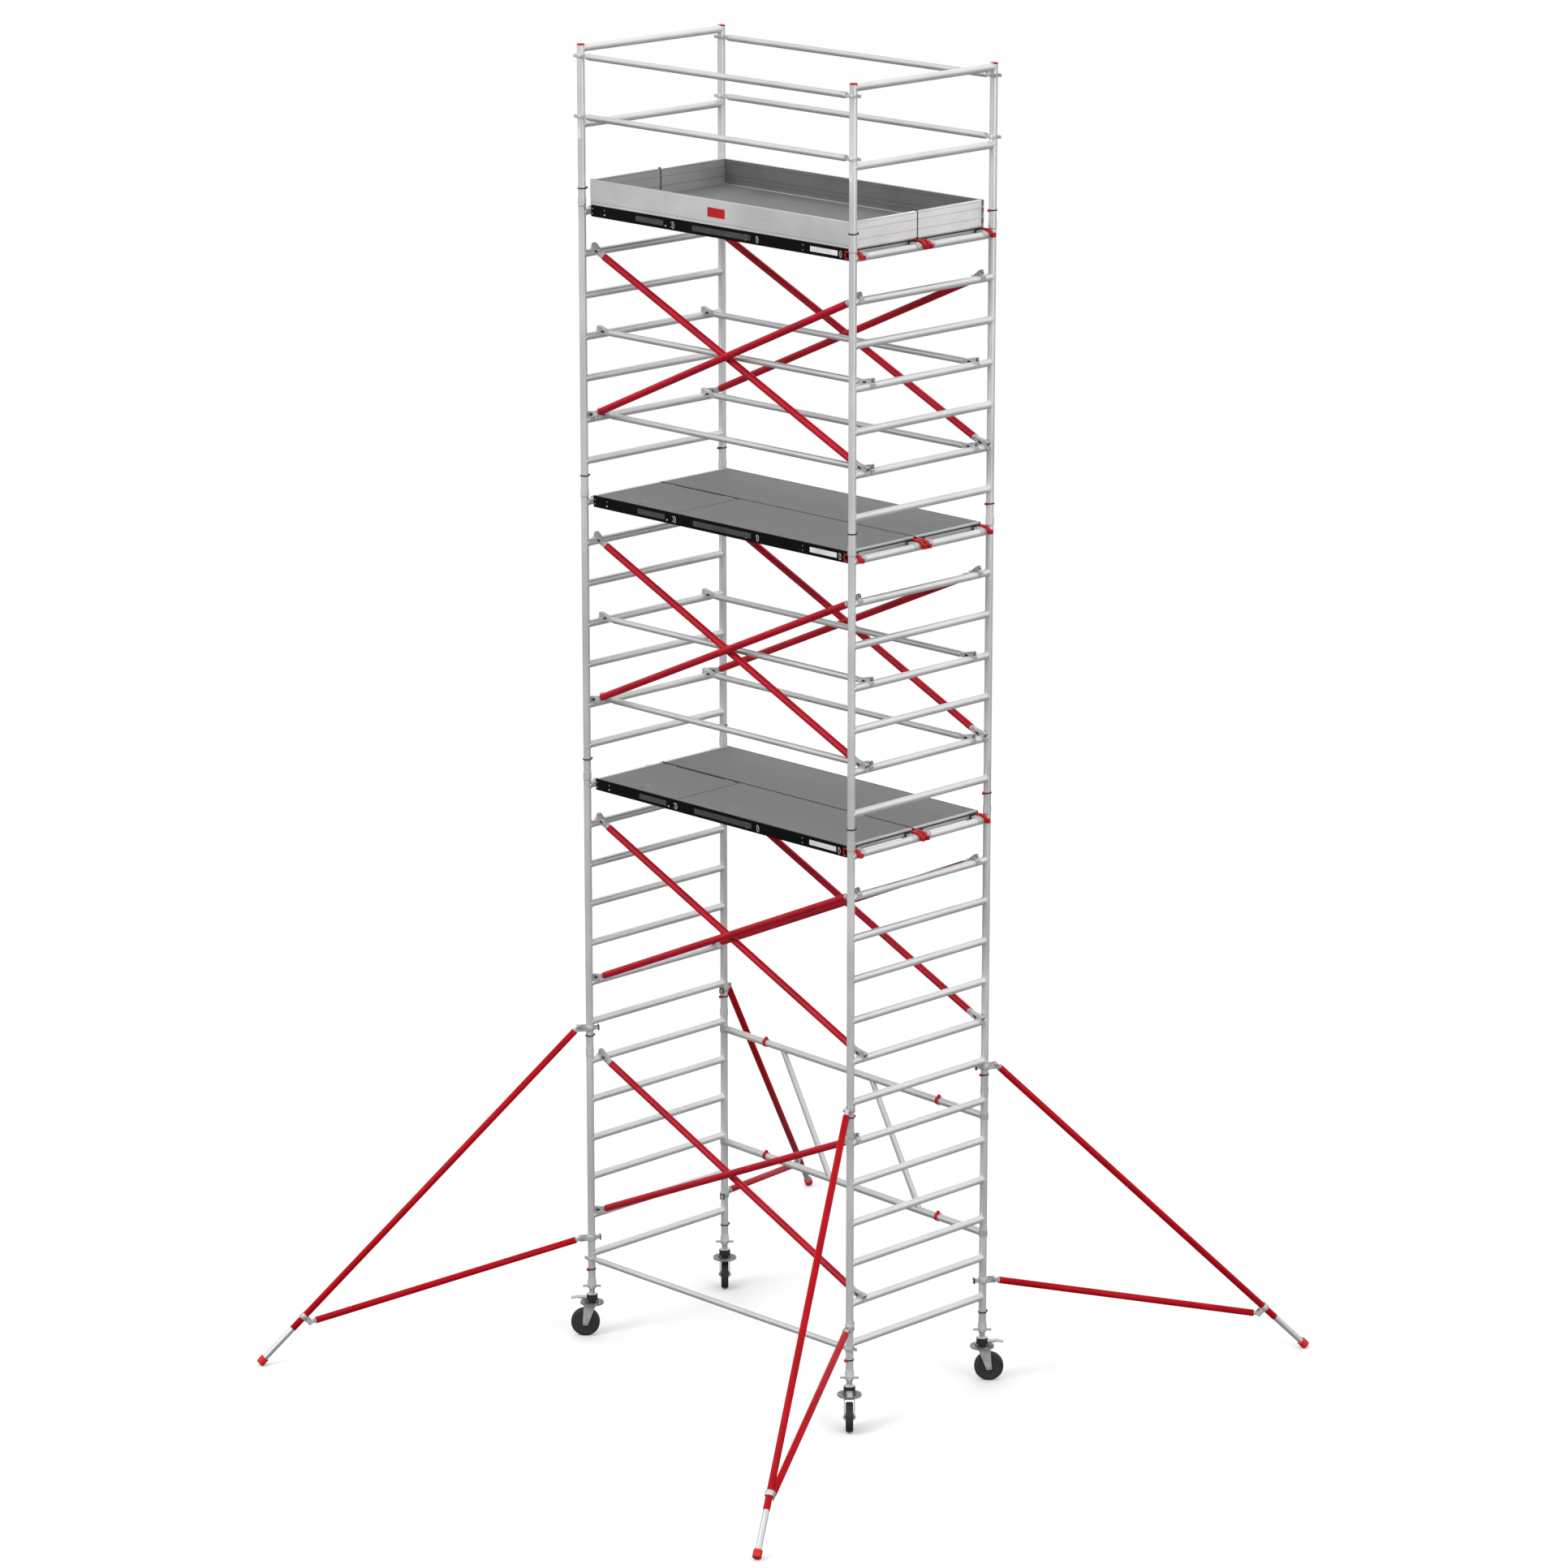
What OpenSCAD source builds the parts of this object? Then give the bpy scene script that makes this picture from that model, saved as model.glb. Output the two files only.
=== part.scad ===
// Mobile tower scaffold: two ladder-frame ends, diagonal braces, guardrails, three double
// platforms with trapdoors, a top guard with toe boards, four levelling castors and four
// outrigger stabilisers.
// X runs along the platforms, Y across them, Z up. The origin is on the ground under the
// middle of the tower. Front is -Y, left is -X.

/* [Tower] */
// Distance between the post centre lines along the tower
bay_length = 2500; // [2000:10:3000]
// Distance between the post centre lines across the tower
bay_width = 1288; // [1150:1:1500]
// Vertical distance between rungs
rung_pitch = 280; // [260:1:320]
// Height of the lowest rung above the ground
first_rung_z = 600; // [590:1:660]
// Distance from the lowest rung down to the foot of the post
base_foot_drop = 184; // [170:1:200]

/* [Tubes] */
// Outside diameter of the posts
post_d = 50.8; // [46:0.1:60]
// Outside diameter of the rungs
rung_d = 50; // [40:0.1:56]
// Outside diameter of the guardrails
rail_d = 42; // [36:0.1:46]
// Outside diameter of the diagonal braces
brace_d = 48; // [40:0.1:50]
// Wall of every aluminium tube
tube_wall = 2; // [1.6:0.1:2.6]
// Gap left round every welded or seated tube end
seat_gap = 0.15; // [0.1:0.05:0.3]

/* [Frame joints] */
// Height of the joint above the last rung of a frame
joint_above_rung = 96; // [80:1:110]
// Outside diameter of the swaged collar under a joint
collar_d = 56; // [54:0.5:70]
// Height of the collar
collar_h = 60; // [40:1:70]
// Length of the spigot above a joint
spigot_h = 110; // [80:1:140]
// Radial clearance of the spigot in the post above
spigot_clearance = 0.3; // [0.2:0.05:0.6]
// Height of the interlock clip above the joint
clip_above_joint = 87; // [70:1:95]
// Height of the interlock clip above the joint under the guard frame
guard_clip_above_joint = 62; // [50:1:90]

/* [Braces and rails] */
// Distance from the post line to the outer brace
outer_brace_in = 55; // [50:1:58]
// Distance from the post line to the inner brace
inner_brace_in = 110; // [106:1:114]
// Distance from the post line to the rails between the platforms
rail_in = 160; // [157:1:200]
// Height of a brace or rail centre line above the rung that it hooks on
hook_rise = 18; // [10:1:22]
// Width of a hook casting
claw_w = 30; // [24:1:40]
// Height of the lower rail of the top guard above its deck surface
knee_rail_h = 580; // [560:1:600]
// Height of the upper rail of the top guard above its deck surface
hand_rail_h = 978; // [960:1:1000]

/* [Platforms] */
// Length of a platform without its hooks
deck_length_gap = 60; // [45:1:80]
// Height of a deck surface above the rung that carries it
deck_rise = 52; // [48:1:60]
// Depth of a platform's side beams
beam_h = 78; // [70:1:100]
// Width of the two platforms together
decks_width = 1240; // [1100:1:1240]
// Thickness of a deck panel
panel_t = 10; // [8:1:14]
// Length of the trapdoor
hatch_length = 742; // [600:1:900]
// Height of the toe boards
toe_board_h = 168; // [150:1:200]
// Thickness of the toe boards
toe_board_t = 25; // [20:1:30]

/* [Castors] */
// Wheel diameter
wheel_d = 200; // [180:1:200]
// Wheel width
wheel_w = 50; // [40:1:54]
// Distance from the swivel axis to the wheel axle
castor_trail = 47; // [40:1:60]
// Diameter of the levelling spindle
spindle_d = 38; // [34:0.5:40]
// Diameter of the swivel's flange
flange_d = 165; // [150:1:175]
// Width across the wings of the levelling nut
nut_span = 125; // [110:1:140]
// Axle diameter
axle_d = 12; // [10:0.5:16]

/* [Stabilisers] */
// Angle between a stabiliser and the length of the tower
stab_angle = 60; // [50:1:65]
// Diameter of the stabiliser tubes
stab_d = 46; // [42:0.5:50]
// Height of the upper pivot
stab_top_z = 2250; // [2230:1:2270]
// Height of the lower pivot
stab_low_z = 716; // [700:1:740]
// Slope of the upper strut below the horizontal
stab_slope = 44.6; // [42:0.1:47]
// Length of the red part of the upper strut
stab_strut_l = 2850; // [2700:10:2900]
// Diameter of the sliding foot tube
foot_tube_d = 41; // [36:0.5:41]
// Diameter of the rubber foot
foot_d = 60; // [54:1:70]

/* [Hidden] */
$fn = 48;
front_left = [-1, -1];
back_left = [-1, 1];
back_right = [1, 1];
front_right = [1, -1];
corners = [front_left, back_left, back_right, front_right];
half_l = bay_length / 2;
half_w = bay_width / 2;
base_rungs = 6;
frame_rungs = 7;
levels = [13, 20, 27];
top_rung = base_rungs + 3 * frame_rungs;
tube_bore = post_d - 2 * tube_wall;
base_bottom_z = first_rung_z - base_foot_drop;
guard_joint_z = rung_z(top_rung) + joint_above_rung;
guard_deck_z = rung_z(top_rung) + deck_rise;
guard_hand_rung_z = guard_deck_z + hand_rail_h + 52;
guard_knee_rung_z = guard_deck_z + knee_rail_h - 50;
guard_top_z = guard_hand_rung_z + 20;
cap_h = 10;
brace_rise = 4 * rung_pitch;
brace_angle = atan(brace_rise / bay_length);
deck_end_x = half_l - deck_length_gap;
deck_half_w = decks_width / 2;
beam_web = 4;
beam_lip = 9;
beam_flange = 32;
toe_end_x = deck_end_x + 6;
lid_clearance = 3;
lid_gap = 2;
end_profile_t = toe_board_t - (toe_end_x - deck_end_x) + 1;
small_gap = 0.3;
hatch_hinge_gap = panel_t / 2 + 0.6;
hatch_pin_d = 4;
running_fit = 0.05;
hatch_x0 = -deck_end_x + end_profile_t + lid_gap;
hatch_x1 = hatch_x0 + hatch_length;
hatch_y0 = -deck_half_w + toe_board_t + lid_clearance;
hatch_pin_y = -beam_lip - hatch_hinge_gap;
hook_r = rung_d / 2 + small_gap;
hook_t = 7;
hook_w = 34;
lock_pin_d = 6;
lock_w = 26;
lock_x = -(half_l - deck_end_x) + 5.6;
lock_z = hook_r + 11;
lock_post_gap = 4.6;
lock_out_y = min(deck_half_w - 6, half_w - post_d / 2 - lock_post_gap);
nut_h = 26;
nut_hub_d = 56;
wing_w = 12;
nut_bottom_z = 346;
leg_bottom_z = 262;
housing_d = 78;
housing_h = 46;
flange_t = 9;
flange_top_z = leg_bottom_z - 16;
fork_t = 5;
fork_in = wheel_w / 2 + 6;
axle_z = wheel_d / 2;
spindle_top_z = 880;
lever_pin_u = 52;
lever_pin_z = leg_bottom_z + 12;
lever_pin_d = 8;
lever_w = 38;
lever_ear_t = 5;
crown_plate_t = 14.5;
axle_head_h = 8;
stab_pivot_u = 76;
stab_bore = stab_d - 2 * tube_wall;
clamp_h = 36;
clamp_t = 7;
clevis_in = 14;
clevis_t = 5;
pivot_pin_d = 10;
collar_s = 2737;
collar_drop = 60;
collar_pin = [
    stab_pivot_u + collar_s * cos(stab_slope) - collar_drop * sin(stab_slope),
    stab_top_z - collar_s * sin(stab_slope) - collar_drop * cos(stab_slope)
];
low_run = collar_pin.x - stab_pivot_u;
low_fall = stab_low_z - collar_pin.y;
low_angle = atan(low_fall / low_run);
low_length = sqrt(low_run * low_run + low_fall * low_fall);
foot_round = 10;
foot_len = 55;
foot_end_z = (foot_d / 2 - foot_round) * cos(stab_slope) + foot_round * (1 - sin(stab_slope));
foot_end_s = (stab_top_z - foot_end_z) / sin(stab_slope);
foot_tube_in = 700;
fold_upper_z = rung_z(base_rungs) - 57;
fold_lower_z = rung_z(base_rungs / 2) - 49;
fold_drop = 55;
fold_stub_l = 420;
fold_diagonal_d = 40;
fold_sleeve_h = 44;
fold_angle = atan(fold_drop / bay_length);
front_brace_rungs = [2, 8, 15, 22];
back_brace_rungs = [8, 15, 22];
rail_rungs = [15, 17, 22, 24];
guard_rail_zs = [guard_deck_z + knee_rail_h, guard_deck_z + hand_rail_h];
base_rail_z = first_rung_z - 37;
brace_end_in = 105;
guard_rail_end_in = 75;
hinge_xs = [hatch_x0 + 95, hatch_x1 - 92];
knuckle_l = 24;

alloy = [0.78, 0.78, 0.78];
alloy_dark = [0.62, 0.62, 0.63];
red = [0.78, 0.08, 0.12];
deep_red = [0.6, 0.03, 0.08];
black = [0.09, 0.09, 0.09];
deck_grey = [0.5, 0.5, 0.5];
plastic_red = [0.8, 0.1, 0.1];

function rung_z(n) = first_rung_z + (n - 1) * rung_pitch;
function deck_z(level) = rung_z(levels[level]) + deck_rise;

// ---------- shared shapes ----------

module tube(d, bore, length) {
    difference() {
        cylinder(h = length, d = d);
        translate([0, 0, -1]) cylinder(h = length + 2, d = bore);
    }
}

module along_x(x0) translate([x0, 0, 0]) rotate([0, 90, 0]) children();

module along_y(y0) translate([0, y0, 0]) rotate([-90, 0, 0]) children();

module at_corner(c) translate([c.x * half_l, c.y * half_w, 0]) children();

// Local +X points away from the tower, at an angle from its length
module outward(c, angle) at_corner(c) rotate([0, 0, atan2(c.y * sin(angle), c.x * cos(angle))]) children();

// ---------- ladder frames ----------

module frame_post(z0, z1, spigot) {
    neck_d = tube_bore - 2 * spigot_clearance;
    difference() {
        union() {
            translate([0, 0, z0]) cylinder(h = z1 - z0, d = post_d);
            if (spigot) {
                translate([0, 0, z1 - collar_h]) cylinder(h = 8, d1 = post_d, d2 = collar_d);
                translate([0, 0, z1 - collar_h + 8]) cylinder(h = collar_h - 8, d = collar_d);
                translate([0, 0, z1]) cylinder(h = spigot_h - 6, d = neck_d);
                translate([0, 0, z1 + spigot_h - 6]) cylinder(h = 6, d1 = neck_d, d2 = neck_d - 8);
            }
        }
        translate([0, 0, z0 - 1]) cylinder(h = z1 - z0 + (spigot ? -collar_h : 2), d = tube_bore);
        if (spigot) translate([0, 0, z1 - collar_h - 2])
            cylinder(h = collar_h + spigot_h + 4, d = neck_d - 8);
    }
}

// One rung, cut to a saddle at both posts
module rung(z) {
    difference() {
        translate([0, 0, z]) along_y(-half_w) tube(rung_d, rung_d - 2 * tube_wall, bay_width);
        for (y = [-half_w, half_w])
            translate([0, y, z - rung_d]) cylinder(h = 2 * rung_d, d = post_d + 2 * seat_gap);
    }
}

module end_frame(side, z0, z1, first, last, spigot) {
    color(alloy) translate([side * half_l, 0, 0]) {
        for (y = [-half_w, half_w]) translate([0, y, 0]) frame_post(z0, z1, spigot);
        for (n = [first:last]) rung(rung_z(n));
    }
}

// The lowest ladder frame, with the swaged foot that sits on the levelling nut
module base_frame(side) {
    z1 = rung_z(base_rungs) + joint_above_rung;
    end_frame(side, base_bottom_z, z1, 1, base_rungs, true);
    color(alloy) translate([side * half_l, 0, 0]) for (y = [-half_w, half_w]) translate([0, y, 0])
        difference() {
            translate([0, 0, nut_bottom_z + nut_h + small_gap])
                cylinder(h = base_bottom_z - nut_bottom_z - nut_h - 2 * small_gap, d1 = 62, d2 = collar_d);
            translate([0, 0, nut_bottom_z]) cylinder(h = 200, d = spindle_d + 2 * small_gap);
        }
}

module ladder_frames(index) {
    last = base_rungs + index * frame_rungs;
    z1 = rung_z(last) + joint_above_rung;
    z0 = z1 - frame_rungs * rung_pitch;
    for (side = [-1, 1]) end_frame(side, z0 + 0.2, z1, last - frame_rungs + 1, last, true);
}

module guard_frames() {
    for (side = [-1, 1]) color(alloy) translate([side * half_l, 0, 0]) {
        for (y = [-half_w, half_w]) translate([0, y, 0]) frame_post(guard_joint_z + 0.2, guard_top_z, false);
        rung(guard_knee_rung_z);
        rung(guard_hand_rung_z);
    }
}

module post_caps() {
    color(plastic_red) for (c = corners) at_corner(c) {
        translate([0, 0, guard_top_z + 0.2]) cylinder(h = cap_h - 3, d = post_d);
        translate([0, 0, guard_top_z + cap_h - 2.8]) cylinder(h = 3, d1 = post_d, d2 = post_d - 6);
        translate([0, 0, guard_top_z - 25]) cylinder(h = 26, d = tube_bore - 0.4);
    }
}

// Sprung ring round a post, with the tab that pushes it home
module clip(c, z, tab) {
    at_corner(c) translate([0, 0, z - 4]) {
        color(black) tube(post_d + 9, post_d + 2 * seat_gap, 8);
        color(plastic_red) translate([-9, tab * (post_d / 2 + 10) - 8, -4]) cube([18, 16, 14]);
    }
}

module interlock_clips() {
    for (c = corners) {
        clip(c, base_bottom_z + 73, c.y);
        for (joint = [0:2])
            clip(c, rung_z(base_rungs + joint * frame_rungs) + joint_above_rung + clip_above_joint, -c.y);
        clip(c, guard_joint_z + guard_clip_above_joint, -c.y);
    }
}

// ---------- braces and rails ----------

// One diagonal from the rung at z_left to the rung at z_right
module brace(y, z_left, z_right) {
    run = bay_length / cos(brace_angle);
    rise = z_right > z_left ? 1 : -1;
    translate([-half_l, y, z_left + hook_rise]) rotate([0, 90 - rise * brace_angle, 0])
        translate([0, 0, brace_end_in]) tube(brace_d, brace_d - 2 * tube_wall, run - 2 * brace_end_in);
}

// Hook over a rung, its neck at an angle above the level, its plug in the tube
module claw(angle, tube_od) {
    neck = tube_od * 0.72;
    rotate([90, 0, 0]) translate([0, 0, -claw_w / 2]) linear_extrude(claw_w) difference() {
        union() {
            circle(r = hook_r + hook_t + 3);
            translate([0, hook_rise]) rotate(angle) translate([-100, -neck / 2]) square([90, neck]);
            translate([hook_r - 3, -6]) square([14, 26]);
        }
        circle(r = hook_r);
        translate([-hook_r, -60]) square([2 * hook_r, 60]);
        translate([-60, -60]) square([120, 52]);
    }
    translate([0, 0, hook_rise]) rotate([0, -angle, 0]) translate([-150, 0, 0]) along_x(0)
        cylinder(h = 56, d = tube_od - 2 * tube_wall - 0.4);
}

module brace_pair(side, low) {
    z0 = rung_z(low);
    z1 = z0 + brace_rise;
    for (inner = [false, true]) {
        y = side * (half_w - (inner ? inner_brace_in : outer_brace_in));
        up = (side < 0) != inner;
        brace(y, up ? z0 : z1, up ? z1 : z0);
    }
}

module brace_pair_claws(side, low) {
    z0 = rung_z(low);
    z1 = z0 + brace_rise;
    for (inner = [false, true]) {
        y = side * (half_w - (inner ? inner_brace_in : outer_brace_in));
        up = (side < 0) != inner;
        translate([half_l, y, up ? z1 : z0]) claw(up ? brace_angle : -brace_angle, brace_d);
        translate([-half_l, y, up ? z0 : z1]) mirror([1, 0, 0])
            claw(up ? -brace_angle : brace_angle, brace_d);
    }
}

module diagonal_braces() {
    color(deep_red) {
        for (n = front_brace_rungs) brace_pair(-1, n);
        for (n = back_brace_rungs) brace_pair(1, n);
    }
}

module rail(y, z, inset) {
    translate([0, y, z]) along_x(-half_l + inset)
        tube(rail_d, rail_d - 2 * tube_wall, bay_length - 2 * inset);
}

module guardrails() {
    color(alloy) {
        for (s = [-1, 1], n = rail_rungs) rail(s * (half_w - rail_in), rung_z(n) + hook_rise, brace_end_in);
        for (s = [-1, 1], z = guard_rail_zs) rail(s * half_w, z, guard_rail_end_in);
        rail(-half_w, base_rail_z, guard_rail_end_in);
    }
}

// Two-pronged jaw round a post, its plug in the end of a rail
module post_claw() {
    jaw_h = 20;
    translate([0, 0, -jaw_h / 2]) linear_extrude(jaw_h) difference() {
        union() {
            circle(d = post_d + 14);
            translate([-72, -14]) square([50, 28]);
            for (y = [-24, 14]) translate([14, y]) square([32, 10]);
        }
        circle(d = post_d + 2 * seat_gap);
        translate([6, -14]) square([60, 28]);
    }
    along_x(-120) cylinder(h = 60, d = rail_d - 2 * tube_wall - 0.4);
}

module hook_castings() {
    color(alloy_dark) {
        for (n = front_brace_rungs) brace_pair_claws(-1, n);
        for (n = back_brace_rungs) brace_pair_claws(1, n);
        for (s = [-1, 1], n = rail_rungs, end = [0, 1])
            mirror([end, 0, 0]) translate([half_l, s * (half_w - rail_in), rung_z(n)]) claw(0, rail_d);
        for (s = [-1, 1], z = guard_rail_zs, end = [0, 1])
            mirror([end, 0, 0]) translate([half_l, s * half_w, z]) post_claw();
        for (end = [0, 1]) mirror([end, 0, 0]) translate([half_l, -half_w, base_rail_z]) post_claw();
    }
}

// ---------- folding base panel on the back ----------

// A line across the back, sloping down from the left post to the right one
module fold_line(z) translate([-half_l, half_w, z]) rotate([0, 90 + fold_angle, 0]) children();

module base_hinge_stubs() {
    color(alloy) for (z = [fold_upper_z, fold_lower_z]) {
        for (end = [0, 1]) {
            sleeve_z = z - end * fold_drop;
            translate([end ? half_l : -half_l, half_w, sleeve_z - fold_sleeve_h / 2])
                tube(post_d + 8, post_d + 2 * seat_gap, fold_sleeve_h);
        }
        difference() {
            for (s = [10, bay_length - fold_stub_l + 0.4])
                fold_line(z) translate([0, 0, s]) tube(post_d - 1, post_d - 5, fold_stub_l - 10.4);
            for (x = [-half_l, half_l]) translate([x, half_w, z - 2 * fold_drop])
                cylinder(h = 3 * fold_drop, d = post_d + 8 + 2 * seat_gap);
        }
    }
}

module base_fold_panel() {
    color(alloy) {
        for (z = [fold_upper_z, fold_lower_z]) fold_line(z) translate([0, 0, fold_stub_l + 1])
            tube(post_d - 1, post_d - 5, bay_length - 2 * fold_stub_l - 2);
        for (x0 = [-670, 190]) difference() {
            h = fold_upper_z - fold_lower_z;
            lean = 460;
            z_top = fold_upper_z - fold_drop * (x0 + half_l) / bay_length;
            translate([x0, half_w, z_top]) rotate([0, 180 - atan(lean / h), 0])
                tube(fold_diagonal_d, fold_diagonal_d - 2 * tube_wall, h / cos(atan(lean / h)));
            for (z = [fold_upper_z, fold_lower_z]) fold_line(z) translate([0, 0, 10])
                cylinder(h = bay_length, d = post_d - 1 + 2 * seat_gap);
        }
    }
}

// Locking collars over the two joints of each fold tube
module base_fold_clips() {
    color(plastic_red) for (z = [fold_upper_z, fold_lower_z], s = [fold_stub_l, bay_length - fold_stub_l])
        fold_line(z) translate([0, 0, s - 13]) {
            tube(post_d + 8, post_d - 1 + 2 * seat_gap, 26);
            translate([-post_d / 2 - 16, -8, 4]) cube([16, 16, 18]);
        }
}

// ---------- platforms ----------

module deck_panels(level) {
    z = deck_z(level) - panel_t;
    lip = beam_lip + small_gap;
    outer = deck_half_w - lip;
    panel_x = deck_end_x - end_profile_t - small_gap;
    split_x = hatch_x1 + lid_gap;
    color(deck_grey) {
        translate([split_x, -outer, z]) cube([panel_x - split_x, outer - lip, panel_t]);
        translate([-panel_x, lip, z]) cube([2 * panel_x, outer - lip, panel_t]);
        translate([-panel_x, -outer, z])
            cube([split_x - small_gap + panel_x, outer + hatch_y0 - lid_gap, panel_t]);
    }
}

// Side beam along X, its web on the y = 0 side, its flanges towards +Y
module side_beam(z) {
    translate([-deck_end_x, 0, z]) rotate([90, 0, 90]) linear_extrude(2 * deck_end_x) {
        translate([0, -beam_h]) square([beam_web, beam_h]);
        translate([0, -panel_t - small_gap - 4]) square([beam_flange, 4]);
        translate([0, -panel_t - small_gap]) square([beam_lip, panel_t + small_gap]);
        translate([0, -beam_h]) square([beam_flange, 4]);
    }
}

module deck_beams() {
    color(black) for (level = [0:2]) {
        z = deck_z(level);
        translate([0, -deck_half_w, 0]) side_beam(z);
        translate([0, -seat_gap, 0]) mirror([0, 1, 0]) side_beam(z);
        translate([0, seat_gap, 0]) side_beam(z);
        translate([0, deck_half_w, 0]) mirror([0, 1, 0]) side_beam(z);
    }
}

// End profiles and the joists under both panels
module deck_cross_members() {
    joist = 30;
    color(alloy) for (level = [0:2]) {
        z = deck_z(level);
        for (s = [-1, 1], y0 = [-deck_half_w + beam_lip + small_gap, beam_lip + small_gap]) {
            x = s > 0 ? deck_end_x - end_profile_t : -deck_end_x;
            translate([x, y0, z - panel_t])
                cube([end_profile_t, deck_half_w - 2 * beam_lip - 2 * small_gap, panel_t]);
        }
        for (y0 = [-deck_half_w + beam_web + small_gap, beam_web + 2 * small_gap])
            for (x = [-deck_end_x, hatch_x1 - 12, 260, 780, deck_end_x - joist])
                translate([x, y0, z - panel_t - 5 - joist - small_gap])
                    cube([joist, deck_half_w - 2 * beam_web - 3 * small_gap, joist]);
    }
}

// Hook of a platform over its rung, seated on the end of the platform; local origin on the rung
module deck_hook() {
    end = half_l - deck_end_x;
    rotate([90, 0, 0]) translate([0, 0, -hook_w / 2]) linear_extrude(hook_w) difference() {
        union() {
            intersection() {
                circle(r = hook_r + hook_t);
                translate([-60, -4]) square([120, 60]);
            }
            translate([-end + small_gap, 2]) square([end - 10, 27]);
            translate([-end + small_gap, 2]) square([12, lock_z + 3]);
        }
        circle(r = hook_r);
    }
}

// Hooks, the spindles that carry the wind locks and the fixed halves of the trapdoor hinges
module deck_fittings() {
    color(alloy_dark) for (level = [0:2]) {
        z = rung_z(levels[level]);
        hook_in = 65;
        for (s = [0, 1], c = [-1, 1])
            for (y = [hook_in, deck_half_w - hook_in])
                mirror([s, 0, 0]) translate([half_l, c * y, z]) deck_hook();
        for (c = [-1, 1]) {
            y0 = c < 0 ? -deck_half_w + 4 : 5;
            translate([half_l + lock_x, 0, z + lock_z]) along_y(y0)
                cylinder(h = deck_half_w - 9, d = lock_pin_d);
        }
        for (x = hinge_xs) hinge_fixed(x, level);
    }
}

module hinge_fixed(x, level) {
    z = deck_z(level) - panel_t / 2;
    translate([0, hatch_pin_y, z]) {
        along_x(x - 1.5 * knuckle_l) cylinder(h = 3 * knuckle_l, d = hatch_pin_d);
        for (x0 = [x - 1.5 * knuckle_l, x + 0.5 * knuckle_l + 0.2]) along_x(x0)
            cylinder(h = knuckle_l - 0.2, d = panel_t - 1);
    }
}

// Trapdoor lid with its own hinge knuckles
module hatch(level) {
    z = deck_z(level);
    y0 = hatch_y0;
    y1 = hatch_pin_y - hatch_hinge_gap;
    color(deck_grey) difference() {
        union() {
            translate([hatch_x0, y0, z - panel_t]) cube([hatch_length, y1 - y0, panel_t]);
            for (x = hinge_xs) translate([0, hatch_pin_y, z - panel_t / 2]) {
                along_x(x - 0.5 * knuckle_l + 0.4) cylinder(h = knuckle_l - 0.8, d = panel_t - 1);
                translate([x - 0.5 * knuckle_l + 0.4, -hatch_hinge_gap - 2, -2])
                    cube([knuckle_l - 0.8, hatch_hinge_gap, 4]);
            }
        }
        for (x = hinge_xs) translate([0, hatch_pin_y, z - panel_t / 2]) along_x(x - knuckle_l)
            cylinder(h = 2 * knuckle_l, d = hatch_pin_d + 2 * running_fit);
        translate([(hatch_x0 + hatch_x1) / 2, y0 + 32, z - 4]) cylinder(h = 6, d = 26);
    }
}

// Latches over the rung at the right end of both platforms
module windlocks(level) {
    z = rung_z(levels[level]);
    gap = 1.2;
    color(plastic_red) for (y = [-lock_out_y, -lock_w - 7, 7, lock_out_y - lock_w])
        translate([half_l, y, z]) difference() {
            translate([0, lock_w, 0]) rotate([90, 0, 0]) linear_extrude(lock_w) difference() {
                union() {
                    intersection() {
                        circle(r = hook_r + gap + 13);
                        translate([lock_x, 16]) square([100, 60]);
                    }
                    translate([lock_x, lock_z]) circle(r = 5.2);
                    translate([lock_x, lock_z - 5.2]) square([-lock_x, 10.4]);
                    translate([hook_r + gap, -10]) square([34, 30]);
                }
                circle(r = hook_r + gap);
            }
            translate([lock_x, 0, lock_z]) along_y(-1)
                cylinder(h = lock_w + 2, d = lock_pin_d + 2 * running_fit);
        }
}

// ---------- toe boards ----------

// Board standing on z = 0 with shallow grooves along both faces
module board(length) {
    groove = 1.2;
    rotate([90, 0, 90]) linear_extrude(length) difference() {
        square([toe_board_t, toe_board_h]);
        for (h = [0.3, 0.68]) for (y = [-1, toe_board_t - groove])
            translate([y, h * toe_board_h]) square([groove + 1, 3]);
    }
}

module toe_boards_side() {
    color(alloy) for (s = [0, 1]) mirror([0, s, 0])
        translate([-toe_end_x, -deck_half_w, guard_deck_z + 0.2]) board(2 * toe_end_x);
}

module toe_boards_end() {
    pin_d = 12;
    half = deck_half_w - toe_board_t - 0.2;
    color(alloy) for (s = [0, 1]) mirror([s, 0, 0]) {
        for (m = [0, 1]) mirror([0, m, 0]) translate([toe_end_x, pin_d / 2 + 0.2, guard_deck_z + 0.2])
            rotate([0, 0, 90]) board(half - pin_d / 2 - 0.2);
        color(black) translate([toe_end_x - toe_board_t / 2, 0, guard_deck_z + 0.2])
            cylinder(h = toe_board_h + 2, d = pin_d);
    }
}

// ---------- castors: local +X is the trailing direction ----------

module castor_leg(c) {
    outward(c, 45) {
        color(alloy) translate([0, 0, leg_bottom_z + housing_h - 6])
            cylinder(h = spindle_top_z - leg_bottom_z - housing_h + 6, d = spindle_d);
        color(black) {
            translate([0, 0, leg_bottom_z]) cylinder(h = housing_h - 6, d = housing_d);
            translate([0, 0, leg_bottom_z + housing_h - 6])
                cylinder(h = 6, d1 = housing_d, d2 = housing_d - 12);
            translate([0, 0, flange_top_z + small_gap]) cylinder(h = 17, d = 56);
        }
    }
}

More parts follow.
